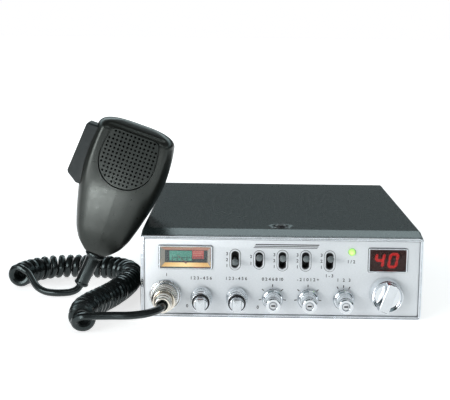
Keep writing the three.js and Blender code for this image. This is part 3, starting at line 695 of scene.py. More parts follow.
def bottom_cover():
    spread = [-80, -40, 0, 40, 80]
    stations = [COVER_FRONT, COVER_FRONT + 0.4, 60, 120, 180, CASE_DEPTH - 0.4, CASE_DEPTH]
    mesh = bent_sheet(u_outline(-SEAM_Z, 0, spread), stations, lambda x, y, z: 0)
    mesh.transform(Matrix.Scale(-1, 4, (0, 0, 1)))
    mesh.flip_normals()
    slots = []
    for i in range(-3, 4):
        reach = math.sqrt(30 ** 2 - (8 * i) ** 2)
        slots.append(shifted(plate(-42, 0, 2 * reach, 3, 1.5, -3, 3, 0.01), matrix=turn(90, "X"), y=78 + 8 * i))
    piece("case_bottom", carved(mesh, joined(slots)), "case_paint", "bottom_cover", smooth=28)


def screw(name, stands_for, look, place, profile, recess=2.4, body="root", to=TO_FRAME):
    """A turned head with a cross recess, its face towards -Y before it is placed."""
    head = turned(profile, 40)
    front = min(entry[1] for entry in profile)
    cross = joined([box(-recess, recess, front - 1, front + 1.1, -0.45, 0.45),
                    box(-0.45, 0.45, front - 1, front + 1.12, -recess, recess)])
    mesh = carved(head, cross)
    piece(name, shifted(mesh, matrix=place), look, stands_for, body=body, to=to)


SIDES = (("left", -1), ("right", 1))


def case_screws():
    pan = [(0, 0), (2.6, 0), (4.2, 0.9), (4.4, 1.7), (5.6, 1.9), (5.6, 2.6), (1.9, 2.6), (1.9, 10), (0, 10)]
    height = COVER_TOP - DIMPLE["depth"] + 0.3 + 2.6
    place = Matrix.Translation((0, DIMPLE["y"], height)) @ turn(25, "Z") @ turn(-90, "X")
    screw("top_screw", "cover_screw_top", "black_screw", place, pan)
    head = [(0, -2), (3, -2), (3.8, -0.7), (3.8, 0), (1.5, 0), (1.5, 7), (0, 7)]
    for word, side in SIDES:
        for end, y in (("front", 40), ("rear", 205)):
            place = Matrix.Translation((side * (CASE_WIDTH / 2 + 0.3), y, 42)) @ turn(90 * side, "Z")
            screw(f"{word}_{end}_screw", f"cover_screw_{word}_{end}", "black_screw", place, head, 2.0)


def bracket_inserts():
    for word, side in SIDES:
        profile = [(1.4, -0.2), (2.4, -0.2), (2.4, 5), (1.4, 5)]
        sleeve = turned(profile, 32, closed=True, radius=0.2)
        outside = side * (CASE_WIDTH / 2 + 0.2)
        place = Matrix.Translation((outside, CASE_DEPTH / 2, BRACKET_Z)) @ turn(90 * side, "Z")
        piece(f"bracket_insert_{word}", shifted(sleeve, matrix=place), "plated_steel")
        boss = turned([(2.7, -0.6), (6.5, -0.6), (7, -0.1), (7, 0.4), (2.7, 0.4)], 56, closed=True, radius=0.25)
        place = Matrix.Translation((side * CASE_WIDTH / 2, CASE_DEPTH / 2, BRACKET_Z)) @ turn(90 * side, "Z")
        piece(f"bracket_boss_{word}", shifted(boss, matrix=place), "case_paint")


# ---------------------------------------------------------------- front panel
def fascia_trim():
    """Two bright ridges with a groove between them, round the whole panel."""
    profile = [(0, 1.4), (0, -1.0), (0.35, -1.5), (0.95, -1.5), (1.15, -0.9), (1.4, -0.9), (1.6, -1.35),
               (2.2, -1.35), (2.5, -0.6), (2.5, 1.4)]
    mesh = surround(0, FASCIA_HEIGHT / 2, CASE_WIDTH, FASCIA_HEIGHT, 3, profile, 8, 0.16)
    piece("panel_trim", mesh, "chrome", "fascia_trim")


def fascia_panel():
    width, height = CASE_WIDTH - 2 * TRIM - 0.6, FASCIA_HEIGHT - 2 * TRIM - 0.6
    panel = plate(0, FASCIA_HEIGHT / 2, width, height, 1, 0, 1.6, 0.1)
    cutters = [plate(x, z, 5.7, 12.3, 2.85, -4, 4, 0.01, 8) for x, z, _ in SWITCHES]
    cutters += [plate(s["x"], s["z"], s["w"] - 2, s["h"] - 2, 1, -4, 4, 0.01) for s in (METER, DISPLAY)]
    cutters += [shifted(drum(5, -4, 4, 40), x=x, z=KNOB_Z) for x in KNOB_X]
    for spec, radius, segments in ((CHANNEL, 5, 40), (LAMP, 2.7, 32), (SOCKET, 8.5, 48)):
        cutters.append(shifted(drum(radius, -4, 4, segments), x=spec["x"], z=spec["z"]))
    mesh = carved(panel, joined(cutters))
    piece("front_panel", mesh, "brushed_panel", "fascia_panel")


# the profile of a printed line round something on the panel
HAIRLINE = [(0, 0.05), (0, -0.03), (0.3, -0.03), (0.3, 0.05)]


def switches():
    rim = [(0, 0), (0, -0.25), (0.2, -0.5), (0.9, -0.5), (1.1, -0.3), (1.1, 1.4)]
    for i, (x, z, rest) in enumerate(SWITCHES, 1):
        height = 13.2 if i == 2 else 14.9
        mesh = surround(x, z, 7.5, height, 3.75, rim, 10, 0.12)
        piece(f"switch_rim_{i}", mesh, "brushed_panel", slot="chrome")
        mesh = surround(x, z, 8.1, height + 0.6, 4.05, HAIRLINE, 10, 0.01)
        piece(f"switch_outline_{i}", mesh, "print_black", slot="brushed_panel")
        cup = [(0, 0.4), (0, 7.6), (0.6, 7.6), (0.6, 0.4)]
        mesh = surround(x, z, 5.4, 12.0, 2.7, cup, 8, 0.1)
        back = plate(x, z, 5.2, 11.8, 2.6, 7.7, 8.3, 0.1)
        piece(f"switch_well_{i}", joined([mesh, back]), "black_plastic")
        tip = [(0, -15.4), (1.3, -15.3), (2.1, -14.6), (2.35, -13.3), (2.2, -11.8), (1.5, -9), (1.1, -3),
               (1.1, 1.6), (0, 1.6)]
        lever = shifted(turned(tip, 40, radius=0.8), matrix=turn(-SWITCH_THROW * rest, "X"))
        piece(f"switch_toggle_{i}", shifted(lever, x=x, y=SWITCH_PIVOT_Y, z=z), "grey_plastic",
              f"switch_lever_{i}", body=f"lever_{i}")


def sloped_strip(front, back, away):
    """A thin strip between two edges, each a pair of (x, y, z) points; away is its thickness as a vector."""
    near = [Vector(point) for point in (*front, *reversed(back))]
    far = [point + Vector(away) for point in near]
    faces = [(0, 1, 2, 3), (4, 5, 6, 7)] + [(i, (i + 1) % 4, 4 + (i + 1) % 4, 4 + i) for i in range(4)]
    return mesh_from(near + far, faces)


# left, right, bottom, top and y of the two ends of the sloped walls round the dial
METER_FRONT = (-17.7, 17.7, -7.3, 7.3, -1.1)
METER_BACK = (-14.8, 15.5, -4.7, 4.3, 3.2)


def meter_walls(x, z):
    """Sloped walls from the frame to the dial: lit below, pink above and plain at the sides."""
    def edge(ends, corner_a, corner_b):
        return [(x + ends[i], ends[4], z + ends[j]) for i, j in (corner_a, corner_b)]

    walls = (("meter_light_strip", "scale_amber", (0, 2), (1, 2), (0, 0, -0.35)),
             ("meter_shade", "scale_pink", (0, 3), (1, 3), (0, 0, 0.35)),
             ("meter_wall_left", "meter_bezel", (0, 2), (0, 3), (-0.35, 0, 0)),
             ("meter_wall_right", "meter_bezel", (1, 2), (1, 3), (0.35, 0, 0)))
    for name, look, start, stop, away in walls:
        strip = sloped_strip(edge(METER_FRONT, start, stop), edge(METER_BACK, start, stop), away)
        piece(name, strip, look, slot="meter_dial")


def meter():
    """A thin silver frame round a back-lit scale."""
    x, z = METER["x"], METER["z"]
    profile = [(0, -0.05), (0, -1.4), (0.3, -1.8), (0.85, -1.8), (1.25, -1.4), (1.6, -0.6), (1.6, 9.5),
               (1.1, 9.5), (1.1, -0.05)]
    mesh = surround(x, z, METER["w"], METER["h"], 1.2, profile, 6, 0.12)
    piece("meter_frame", mesh, "satin_metal", "meter_case", slot="chrome")
    meter_walls(x, z)
    dial = plate(x + 0.35, z - 0.2, 31.2, 9.8, 0.5, 3.2, 4, 0.1)
    piece("meter_scale_plate", dial, "meter_dark", "meter_dial", slot="meter_dial")
    for word, look, x0, x1, z0, z1 in (("teal", "scale_teal", -11.6, 4.4, -3.3, 3.8),
                                       ("red", "scale_red", 4.7, 12.8, -1.9, 4.1)):
        zone = plate(x + (x0 + x1) / 2, z + (z0 + z1) / 2, x1 - x0, z1 - z0, 0.1, 2.9, 3.3, 0.05)
        piece(f"meter_zone_{word}", zone, look, slot="meter_dial")
    stripes = [box(x + 5, x + end, 2.8, 2.95, z + at, z + at + 0.35)
               for at, end in ((0.4, 12), (1.8, 11.2), (3, 12.4))]
    piece("meter_stripes", joined(stripes), "scale_pink", slot="meter_dial")
    marks = []
    for i in range(13):
        offset = -9.4 + 20.4 * i / 12
        tall = 1.5 if i % 3 == 0 else 0.8
        marks.append(box(x + offset - 0.14, x + offset + 0.14, 2.75, 2.95, z - 1.2, z - 1.2 + tall))
        if i % 2 == 0 and offset < 4:
            marks.append(box(x + offset - 0.4, x + offset + 0.4, 2.75, 2.95, z - 2.7, z - 1.8))
    marks.append(box(x - 9.6, x + 11.4, 2.75, 2.95, z - 1.4, z - 1.15))
    piece("meter_marks", joined(marks), "meter_dark", slot="meter_dial")
    needle = joined([box(-0.16, 0.16, 2.2, 2.5, 0, 8.0), drum(0.9, 1.9, 2.7, 20)])
    needle.transform(Matrix.Translation((x, 0, z - 4.3)) @ turn(-50, "Y"))
    piece("meter_pointer", needle, "needle_red", "meter_needle", body="needle")
    glass = plate(x, z, 35.4, 14.6, 0.5, -1.6, -1.2, 0.12)
    piece("meter_pane", glass, "meter_glass", "meter_window")


def segment(x, z, length, width, upright, slant):
    """One hexagonal bar of a digit."""
    half, w = length / 2, width / 2
    outline = [(-half, 0), (-half + w, w), (half - w, w), (half, 0), (half - w, -w), (-half + w, -w)]
    if upright:
        outline = [(-b, a) for a, b in outline]
    points = [(x + a + slant * (z + b), z + b) for a, b in outline]
    return prism(points, -0.9, -0.55, 0.05)


DIGITS = {"4": "bcfg", "0": "abcdef"}
# middle of a bar in half widths and half heights of a digit, and whether it stands upright
BARS = {"a": (0, 1, False), "b": (1, 0.5, True), "c": (1, -0.5, True), "d": (0, -1, False),
        "e": (-1, -0.5, True), "f": (-1, 0.5, True), "g": (0, 0, False)}


def display():
    x, z = DISPLAY["x"], DISPLAY["z"]
    profile = [(0, -0.3), (0, -1.2), (0.3, -1.5), (0.8, -1.5), (1.2, -1.0), (1.2, 8), (0.9, 8), (0.9, -0.3)]
    mesh = surround(x, z, DISPLAY["w"], DISPLAY["h"], 1.2, profile, 6, 0.12)
    piece("display_frame", mesh, "satin_metal", "display_case", slot="chrome")
    module = plate(x, z, 24.6, 14.4, 0.5, -0.5, 5, 0.1)
    piece("display_module", module, "display_digits", "display_digits")
    lit = []
    half_w, half_h, slant, thick = 2.6, 4.6, 0.17, 2.0
    for digit, offset in (("4", -5.9), ("0", 3.7)):
        for bar in DIGITS[digit]:
            bx, bz, tall = BARS[bar]
            length = (half_h if tall else 2 * half_w) + 0.3
            mesh = segment(bx * half_w, bz * half_h, length, thick, tall, slant)
            lit.append(shifted(mesh, x=x + offset, z=z))
    piece("channel_number", joined(lit), "lit_segment", slot="display_digits")
    pane = plate(x, z, 24.4, 14.2, 0.5, -1.35, -1.05, 0.1)
    piece("display_pane", pane, "display_glass", "display_window")


def lamp():
    dome = turned([(0, -2.6), (1.2, -2.4), (2.1, -1.6), (2.45, -0.4), (2.45, 6), (0, 6)], 40, radius=0.6)
    piece("lamp_lens", shifted(dome, x=LAMP["x"], z=LAMP["z"]), "lamp_green", "transmit_lamp")


def numeral(text, x, z, align="CENTER"):
    """Flat printed numerals on the panel, made a little bolder than the font."""
    curve = bpy.data.curves.new("numeral", "FONT")
    curve.body = text
    curve.size = CAPTION_HEIGHT * 1.35
    curve.align_x = align
    curve.extrude = 0.02
    curve.offset = 0.07
    holder = put("numeral", curve)
    mesh = bpy.data.meshes.new_from_object(holder.evaluated_get(bpy.context.evaluated_depsgraph_get()))
    bpy.data.objects.remove(holder)
    mesh.transform(Matrix.Translation((x, -0.02, z - CAPTION_HEIGHT / 2)) @ turn(90, "X"))
    mesh.materials.clear()
    return mesh


CAPTIONS = [
    ("1", -81.5, 31), ("1 2 3 - 4 5 6", -57, 28.8), ("1 2 3 - 4 5 6", -32, 28.8), ("0 2 4 6 8 10", -6.2, 28.6),
    ("- 2 1 0 1 2 +", 19, 28.6), ("1   2   3", 44.3, 28.6), ("0", -66.8, 8.4), ("0", -16.4, 8), ("1 / 2", 49.2, 42),
    ("1 - 3", 34, 31.6),
]
SWITCH_NUMERALS = [(3, 2, 1), (2, 1), (3, 2, 1), (3, 2, 1), (3, 2, 1)]
CAPTION_HEIGHT = 2.3
TICK = {"inner": 7.9, "outer": 9.8, "width": 0.65}
TICK_ANGLES = [(90, 40, 140, -10, 190), (90, 40, 140, -10, 190), (62, 90, 118)]


def captions():
    marks = [numeral(text, x, z) for text, x, z in CAPTIONS]
    for (x, z, _), numbers in zip(SWITCHES, SWITCH_NUMERALS):
        spread = 4.3 if len(numbers) == 3 else 5
        for i, number in enumerate(numbers):
            at = z + spread * ((len(numbers) - 1) / 2 - i)
            marks.append(numeral(str(number), x - 5, at, "RIGHT"))
    return marks


def pinstripes():
    """Three slanted rules in the place of a badge."""
    rules = []
    for z0, z1, x0, x1 in ((51, 51.45, -20, 25), (52, 52.6, -19.4, 25.6), (53.15, 53.9, -18.8, 26.2)):
        lean = 0.5 * (z1 - z0)
        outline = [(x0, z0), (x1, z0), (x1 + lean, z1), (x0 + lean, z1)]
        rules.append(prism(outline, -0.04, 0.02, 0.01))
    return rules


def legend():
    """Printed marks: ticks and numerals round the controls."""
    marks = captions() + pinstripes()
    for spec in (METER, DISPLAY):
        size = spec["w"] + 0.7, spec["h"] + 0.7
        marks.append(surround(spec["x"], spec["z"], *size, 1.6, HAIRLINE, 6, 0.01))

    for x, angles in zip(KNOB_X[2:], TICK_ANGLES):
        for degrees in angles:
            bar = box(TICK["inner"], TICK["outer"], -0.03, 0.02, -TICK["width"] / 2, TICK["width"] / 2)
            marks.append(shifted(bar, matrix=turn(-degrees, "Y"), x=x, z=KNOB_Z))
    piece("panel_marks", joined(marks), "print_black", slot="brushed_panel")


# ---------------------------------------------------------------- knobs and connector
# profiles from the face to the shaft, as (radius, y[, depth of the flutes])
OUTER_RING = [
    (1.95, -12.6), (6, -12.6), (6, -16.2), (6.25, -16.8), (6.6, -16.8), (6.95, -16), (6.95, -12.8), (6.3, -12.5),
    (6.3, -11.7), (7.05, -11.4, 0.12), (7.15, -6.6, 0.12), (7.3, -6), (7.85, -5), (7.85, -0.6), (3, -0.6),
    (3, 14), (1.95, 14),
]
# a black sleeve inside the gap between the collar and the cap: painted shade, it makes the gap dark where shadow
# falls
RING_PAINTED_SHADOW = [(5.25, -15.9), (5.95, -15.9), (5.95, -12.7), (5.25, -12.7)]
INNER_KNOB = [
    (0, -20.6), (4.5, -20.6), (5.05, -20), (5.15, -18, 0.1), (5.15, -13.3, 0.1), (4.9, -12.9), (1.6, -12.9),
    (1.6, 15), (0, 15),
]
SINGLE_KNOB = [
    (0, -22), (2.6, -22), (2.8, -22.8), (4.5, -22.9), (5.2, -22.3), (5.3, -20.4), (5.0, -20), (5.1, -19.4),
    (5.5, -19, 0.15), (5.9, -12, 0.15), (6.1, -11.4), (6.3, -7), (5.8, -6.7), (5.8, -6), (6.8, -5.6), (6.9, -4.8),
    (7.6, -4), (7.6, -0.6), (3, -0.6), (3, 14), (0, 14),
]
KNOB_BUTTON = [(0, -22.9), (1.9, -22.9), (2.35, -22.6), (2.35, -22), (0, -22)]
# (y, half width, half length) of the bar across a knob
INNER_BAR = [(-20.2, 3.6, 4.6), (-23.3, 3.15, 4.5), (-23.9, 2.95, 4.3), (-24, 2.6, 4)]
CHANNEL_BAR = [
    (-9, 5.3, 10.6), (-9.5, 5.1, 10.6), (-16.3, 3.75, 10.5), (-16.8, 3.6, 10.3), (-17, 3.3, 10), (-16.95, 3, 9.7),
    (-16.9, 2.6, 9.3),
]


def knobs():
    for body, ring, x in (("volume", "squelch", KNOB_X[0]), ("rf_gain", "swr", KNOB_X[1])):
        collar = shifted(turned(OUTER_RING, 180, 30, closed=True), x=x, z=KNOB_Z)
        piece(f"{ring}_collar", collar, "chrome", f"{ring}_ring", body=ring)
        # painted shade: a black sleeve darkens the gap between the collar and the cap
        painted_shadow_sleeve = shifted(turned(RING_PAINTED_SHADOW, 64, closed=True, radius=0.1), x=x, z=KNOB_Z)
        piece(f"{ring}_lining", painted_shadow_sleeve, "black_plastic", body=ring, slot="chrome")
        cap = shifted(turned(INNER_KNOB, 144, 24), x=x, z=KNOB_Z)
        piece(f"{body}_cap", cap, "satin_metal", f"{body}_knob", body=body, slot="chrome")
        piece(f"{body}_bar", shifted(finger_bar(INNER_BAR), x=x, z=KNOB_Z), "satin_metal", body=body,
              slot="chrome")
    for body, x in zip(("mic_gain", "clarifier", "dimmer"), KNOB_X[2:]):
        grip = shifted(turned(SINGLE_KNOB, 168, 28), x=x, z=KNOB_Z)
        piece(f"{body}_grip", grip, "chrome", f"{body}_knob", body=body)
        button = shifted(turned(KNOB_BUTTON, 40, radius=0.2), x=x, z=KNOB_Z)
        piece(f"{body}_button", button, "bright_insert", body=body, slot="chrome")
        dash = plate(0, 0, 2.9, 1.15, 0.2, -23.05, -22.7, 0.05)
        piece(f"{body}_pointer", shifted(dash, x=x, z=KNOB_Z), "print_black", body=body, slot="chrome")


def finger_bar(stations):
    """A bar across a knob from (y, half width, half length) stations; its ends are rounded."""
    rings = []
    for y, width, length in stations:
        outline = rounded_rect(0, 0, 2 * width, 2 * length, width * 0.45, 5)
        rings.append([(x, y, z) for x, z in outline])
    return skin(rings)


def channel_knob():
    r = CHANNEL["radius"]
    dish = [(0, -9.2), (8.6, -9.2), (9.8, -9.7), (10.5, -10.8), (11, -10.8), (11.4, -9.8, 0.12), (r, -2, 0.12),
            (r, -0.6), (3, -0.6), (3, 14), (0, 14)]
    base = turned(dish, 216, 36)
    bar = finger_bar(CHANNEL_BAR)
    place = Matrix.Translation((CHANNEL["x"], 0, CHANNEL["z"])) @ turn(CHANNEL["lean"], "Y")
    piece("channel_dish", shifted(base, matrix=place), "chrome", "channel_knob", body="channel")
    piece("channel_bar", shifted(bar, matrix=place), "satin_metal", body="channel", slot="chrome")


FLANGE = [
    (0, -4), (5.6, -4), (5.6, -8.6), (7, -8.6), (7, -2.6), (8.6, -2.6), (9.2, -1.7), (10.2, -1.7), (10.8, -2.3),
    (11.4, -2.0), (11.5, -0.3), (8.3, -0.3), (8.3, 12), (0, 12),
]
COUPLING_NUT = [
    (6.5, -16.8), (7.6, -17), (8.3, -16.2), (8.3, -14.4), (9.1, -13.6, 0.35), (9.1, -8.6, 0.35), (8.7, -8.2),
    (8.7, -7.4), (9.1, -7.0, 0.35), (9.1, -3.4, 0.35), (8.7, -2.8), (7.5, -2.8), (7.5, -14.4), (6.5, -14.4),
]
PLUG_SHELL = [
    (0, -20), (3.2, -20), (3.2, -29.6), (3.9, -30), (5.3, -30), (5.7, -29.4), (5.7, -25), (6.2, -24.4),
    (6.2, -14.2), (6.9, -14.2), (6.9, -9.6), (5, -9.6), (5, -4.6), (0, -4.6),
]


def connector():
    x, z = SOCKET["x"], SOCKET["z"]
    flange = shifted(turned(FLANGE, 72), x=x, z=z)
    piece("socket_flange", flange, "satin_metal", "mic_socket", slot="nickel")
    nut = shifted(turned(COUPLING_NUT, 216, 36, closed=True, radius=0.25), x=x, z=z)
    piece("coupling_nut", nut, "nickel", "plug_nut", body="plug_ring")
    shell = shifted(turned(PLUG_SHELL, 72), x=x, z=z)
    piece("plug_shell", shell, "nickel", "plug_body")


# ---------------------------------------------------------------- microphone
# height, half width, depth in front, depth behind
MIC_SECTIONS = [
    (0, 9.5, 8.5, 9), (2.3, 12, 10, 10.5), (6.4, 16, 11.5, 12), (12, 19.5, 12.8, 13.5), (24, 23.8, 14.2, 15.5),
    (36, 27, 15.2, 17), (51, 30.4, 16, 18.5), (64, 32.2, 16, 19), (76, 32.2, 16, 19), (88, 31.2, 15.8, 18.8),
    (95, 30, 15.5, 18), (103.5, 28.4, 15, 17),
]
MIC_CROWN = {"from": 94, "top": 103.5, "power": 2.7, "depth_power": 1.5}
SQUARENESS = 0.62
# half of the front shell's outline, from the seam to the middle: share of the half width, share of the depth
FACE_OUTLINE = [(1, 0), (0.995, 0.16), (0.97, 0.42), (0.91, 0.68), (0.82, 0.86), (0.7, 0.93), (0.4, 0.98), (0, 1)]
# right half of the insert's outline, from the middle of its top to the middle of its foot
GRILLE_HALF = [(0, 97), (8, 97), (14.5, 96.8), (18, 95.8), (19.6, 93), (20.6, 88), (21.5, 81), (21.5, 74),
               (20.5, 68.6), (18, 63.4), (14.4, 59.2), (9.8, 56), (5, 54.4), (0, 54)]
GRILLE_CENTRE = 76
GRILLE_LEAN = 0.05
GRILLE_BULGE = 0.0028
GRILLE_FOOT = GRILLE_HALF[-1][1]
GRILLE_RISE = 22
HOLE_PITCH = 3.04
HOLE_RADIUS = 0.86
PTT_GAP = 0.4
MIC_SCREW_Z = 34
HANGER_Z = 64
POCKET = {"depth": 1.8, "half": 27, "side_wall": 7.5, "top": 99.8, "top_wall": 2.4, "from": 50, "to": 90}
PTT_HALF = 9.2
PTT_LOW = 46.8
PTT_HIGH = 92.8


def smooth_table(height, column):
    """A smooth curve through one column of the sections."""
    hs = [row[0] for row in MIC_SECTIONS]
    vs = [row[column] for row in MIC_SECTIONS]
    i = min(max(int(np.searchsorted(hs, height)) - 1, 0), len(hs) - 2)
    slopes = np.gradient(np.array(vs, float), np.array(hs, float))
    span = hs[i + 1] - hs[i]
    t = (height - hs[i]) / span
    return ((2 * t ** 3 - 3 * t ** 2 + 1) * vs[i] + (t ** 3 - 2 * t ** 2 + t) * span * slopes[i]
            + (3 * t ** 2 - 2 * t ** 3) * vs[i + 1] + (t ** 3 - t ** 2) * span * slopes[i + 1])


def mic_section(height):
    """Half width, front depth and back depth at a height, drawn in over the crown."""
    t = min(max((height - MIC_CROWN["from"]) / (MIC_CROWN["top"] - MIC_CROWN["from"]), 0), 1)
    crown = max(1 - t ** MIC_CROWN["power"], 0) ** (1 / MIC_CROWN["power"])
    deep = max(1 - t ** MIC_CROWN["depth_power"], 0) ** (1 / MIC_CROWN["depth_power"])
    return (smooth_table(height, 1) * crown, smooth_table(height, 2) * deep, smooth_table(height, 3) * deep)


def half_outline(side, count=36):
    """Evenly spaced (share of half width, share of depth) points from the seam to the middle of a half."""
    if side < 0:
        half = spline([(a, b, 0) for a, b in FACE_OUTLINE], 0.01)[:, :2]
    else:
        angles = np.linspace(0, math.pi / 2, 400)
        half = np.stack([np.cos(angles) ** SQUARENESS, np.sin(angles) ** SQUARENESS], axis=1)
    steps = np.hypot(2 * np.diff(half[:, 0]), np.diff(half[:, 1]))
    along = np.concatenate([[0], np.cumsum(steps)])
    places = np.linspace(0, along[-1], count)
    return read_off(places, along, half)


def pocket(x, height):
    """How far the face is sunk round the grille: deepest at the top, gone below it."""
    side = smooth_step((POCKET["half"] - abs(x)) / POCKET["side_wall"])
    top = smooth_step((POCKET["top"] - height) / POCKET["top_wall"])
    fade = smooth_step((height - POCKET["from"]) / (POCKET["to"] - POCKET["from"]))
    return POCKET["depth"] * side * top * fade


def mic_half(side):
    half = half_outline(side)
    outline = [(a, b) for a, b in half] + [(-a, b) for a, b in half[-2::-1]]
    heights = np.concatenate([[0.02, 0.3, 1, 2.2], np.linspace(3.5, 90, 58), np.linspace(91, 100.5, 14),
                              [101.2, 101.9, 102.4, 102.8, 103.1, 103.3, 103.43]])
    rings = []
    for height in heights:
        width, front, back = mic_section(height)
        depth = front if side < 0 else back
        ring = []
        for across, outward in outline:
            x = side * width * across
            out = 0.15 + max(depth - 0.15, 0) * outward
            if side < 0:
                out -= pocket(x, height) * smooth_step((out - 6) / 5)
            ring.append((x, side * out, height))
        rings.append(ring)
    return skin(rings)


def shrunk(points, centre, margin):
    """Points moved towards a centre by a margin."""
    centre = np.array(centre)
    return [tuple(point + (centre - point) / np.linalg.norm(centre - point) * margin)
            for point in np.array(points)]


def grille_outline(margin):
    half = spline([(x, z, 0) for x, z in GRILLE_HALF], 0.8)[:, :2]
    points = [(x, z) for x, z in half] + [(-x, z) for x, z in half[-2:0:-1]]
    return shrunk(points, (0, GRILLE_CENTRE), margin)


def ptt_outline(margin=0.0):
    points = [(-27.6, PTT_LOW), (-27.6, PTT_HIGH), (-36.1, PTT_HIGH), (-37.7, 91), (-40.2, 53.9), (-39.1, 52),
              (-31.4, PTT_LOW)]
    return shrunk(points, np.mean(points, axis=0), margin)


# (radius, distance from the shell)
HANGER_STUD = [
    (0, 0), (5, 0), (4.6, 3.2), (7.2, 3.8), (7.5, 4.4), (7.5, 5.8), (6.6, 6.8), (2, 7), (0, 6.6),
]
MIC_BOOT = [
    (0, -23), (2.85, -23), (2.85, -29.2), (3.4, -29.4), (4.6, -29.2), (5.5, -28.4), (5.5, -27), (5.0, -26.4),
    (5.2, -14), (5.5, -6), (5.7, -4.6), (7.0, -4.2), (7.6, -3.6), (7.6, -1.8), (7.0, -1.2), (0, -1.2),
]


def microphone():
    reach = PTT_HALF + PTT_GAP
    opening = box(-60, -24, -reach, reach, PTT_LOW - PTT_GAP, PTT_HIGH + PTT_GAP)
    front = carved(mic_half(-1), opening.copy())
    front = carved(front, prism(grille_outline(0), -30, -9, 0.1))
    back = carved(mic_half(1), opening)
    piece("mic_face", front, "mic_plastic", "mic_front_shell", body="microphone", to=TO_MIC, smooth=40)
    piece("mic_rear", back, "mic_plastic", "mic_back_shell", body="microphone", to=TO_MIC, smooth=40)
    grille()
    mesh = prism(ptt_outline(), -PTT_HALF, PTT_HALF, 1.2, ptt_outline(1.2))
    piece("talk_bar", mesh, "ptt_plastic", "ptt_button", body="ptt", to=TO_MIC, smooth=25)
    foot = mic_section(HANGER_Z)[2] + 0.3
    stud = shifted(turned([(r, foot + y) for r, y in HANGER_STUD], 64), z=HANGER_Z)
    piece("hanger_stud", stud, "nickel", "hanger_button", body="microphone", to=TO_MIC)
    mesh = shifted(turned(MIC_BOOT, 48, radius=0.5), matrix=turn(BOOT_LEAN, "Y") @ turn(90, "X"))
    piece("mic_boot", mesh, "cord_rubber", "mic_strain_relief", body="microphone", to=TO_MIC)
    back_depth = mic_section(MIC_SCREW_Z)[2]
    head = [(0, 0), (1.8, 0), (3, 0.8), (3, 1.8), (1.3, 1.8), (1.3, 7), (0, 7)]
    for word, x in (("left", -13), ("right", 13)):
        place = Matrix.Translation((x, back_depth + 2.0, MIC_SCREW_Z)) @ turn(180, "Z")
        screw(f"mic_shell_screw_{word}", f"mic_screw_{word}", "plated_steel", place, head, 1.6,
              "microphone", TO_MIC)


def grille():
    """The perforated insert: round holes on a square grid inside a plain margin, with a cloth behind it."""
    front = -mic_section(GRILLE_FOOT)[1] + 0.15
    insert = prism(grille_outline(0.7), front, front + 1.5, 0.25, grille_outline(0.95))
    cloth = prism(grille_outline(1.3), front + 1.52, front + 1.7, 0.02)
    inside = grille_outline(2.2)
    holes = []
    for row in range(-9, 10):
        for column in range(-9, 10):
            x, z = column * HOLE_PITCH, GRILLE_CENTRE + row * HOLE_PITCH
            if within(x, z, inside):
                holes.append(shifted(drum(HOLE_RADIUS, front - 5, front + 2.5, 10, 0.01), x=x, z=z))
    mesh = carved(insert, joined(holes))
    for part in (mesh, cloth):
        triangulate(part)
        for vertex in part.vertices:
            x, _, z = vertex.co
            rise = z - GRILLE_FOOT
            upward = 0.6 * rise ** 2 - 0.6 * GRILLE_RISE * rise
            vertex.co.y += GRILLE_LEAN * rise + GRILLE_BULGE * (x * x + upward)
    piece("mic_grille_insert", mesh, "grille_plastic", "mic_grille", body="microphone", to=TO_MIC, smooth=40)
    piece("mic_grille_cloth", cloth, "grille_cloth", body="microphone", to=TO_MIC, slot="grille_plastic")


def within(x, z, outline):
    """Whether a point lies inside an outline."""
    inside = False
    for (x0, z0), (x1, z1) in zip(outline, outline[1:] + outline[:1]):
        if (z0 > z) != (z1 > z) and x < x0 + (z - z0) * (x1 - x0) / (z1 - z0):
            inside = not inside
    return inside


# ---------------------------------------------------------------- rear
REAR_FACE = 233.3


def rear_sockets():
    back = REAR_FACE
    socket = [(6.4, back + 12.8), (6.4, back + 4), (2.4, back + 4), (2.4, 226), (8, 226), (8, back), (11, back),
              (11, back + 1.8)]
    crest = []
    for i in range(8):
        crest += [(7.4, back + 2.4 + 1.25 * i), (7.85, back + 3.0 + 1.25 * i)]
    profile = socket + [(7.4, back + 2)] + crest + [(7.4, back + 12.6), (7.0, back + 13)]
    mesh = shifted(turned(profile[::-1], 56, closed=True, radius=0.15), x=62, z=34)
    piece("antenna_connector", mesh, "nickel", "antenna_socket")
    power_inlet(-55, 26, back)
    speaker_jacks(12, 30, 22, back)


def power_inlet(x, z, back):
    """A moulded socket with three round pins and a key rib."""
    hole = plate(x, z, 20, 8, 1, back - 1, back + 6, 0.01)
    flange = carved(plate(x, z, 28, 16, 2, back, back + 5, 0.6), hole)
    wall = [(0, 222), (0, back + 0.1), (1.9, back + 0.1), (1.9, 222)]
    sleeve = surround(x, z, 24, 12, 1.2, wall, 4, 0.1)
    floor_plate = plate(x, z, 21, 9, 0.5, 224, 226, 0.1)
    rib = box(x - 1, x + 1, 226, back + 4.4, z + 2.9, z + 4.1, 0.2)
    piece("power_inlet", joined([flange, sleeve, floor_plate, rib]), "black_plastic", "power_socket")
    pin = [(0, 225), (1.1, 225), (1.1, back - 1.8), (0.7, back - 1), (0, back - 1)]
    pins = [shifted(turned(pin[::-1], 20, radius=0.2), x=x + offset, z=z) for offset in (-6, 0, 6)]
    piece("power_pins", joined(pins), "plated_steel", slot="chrome")


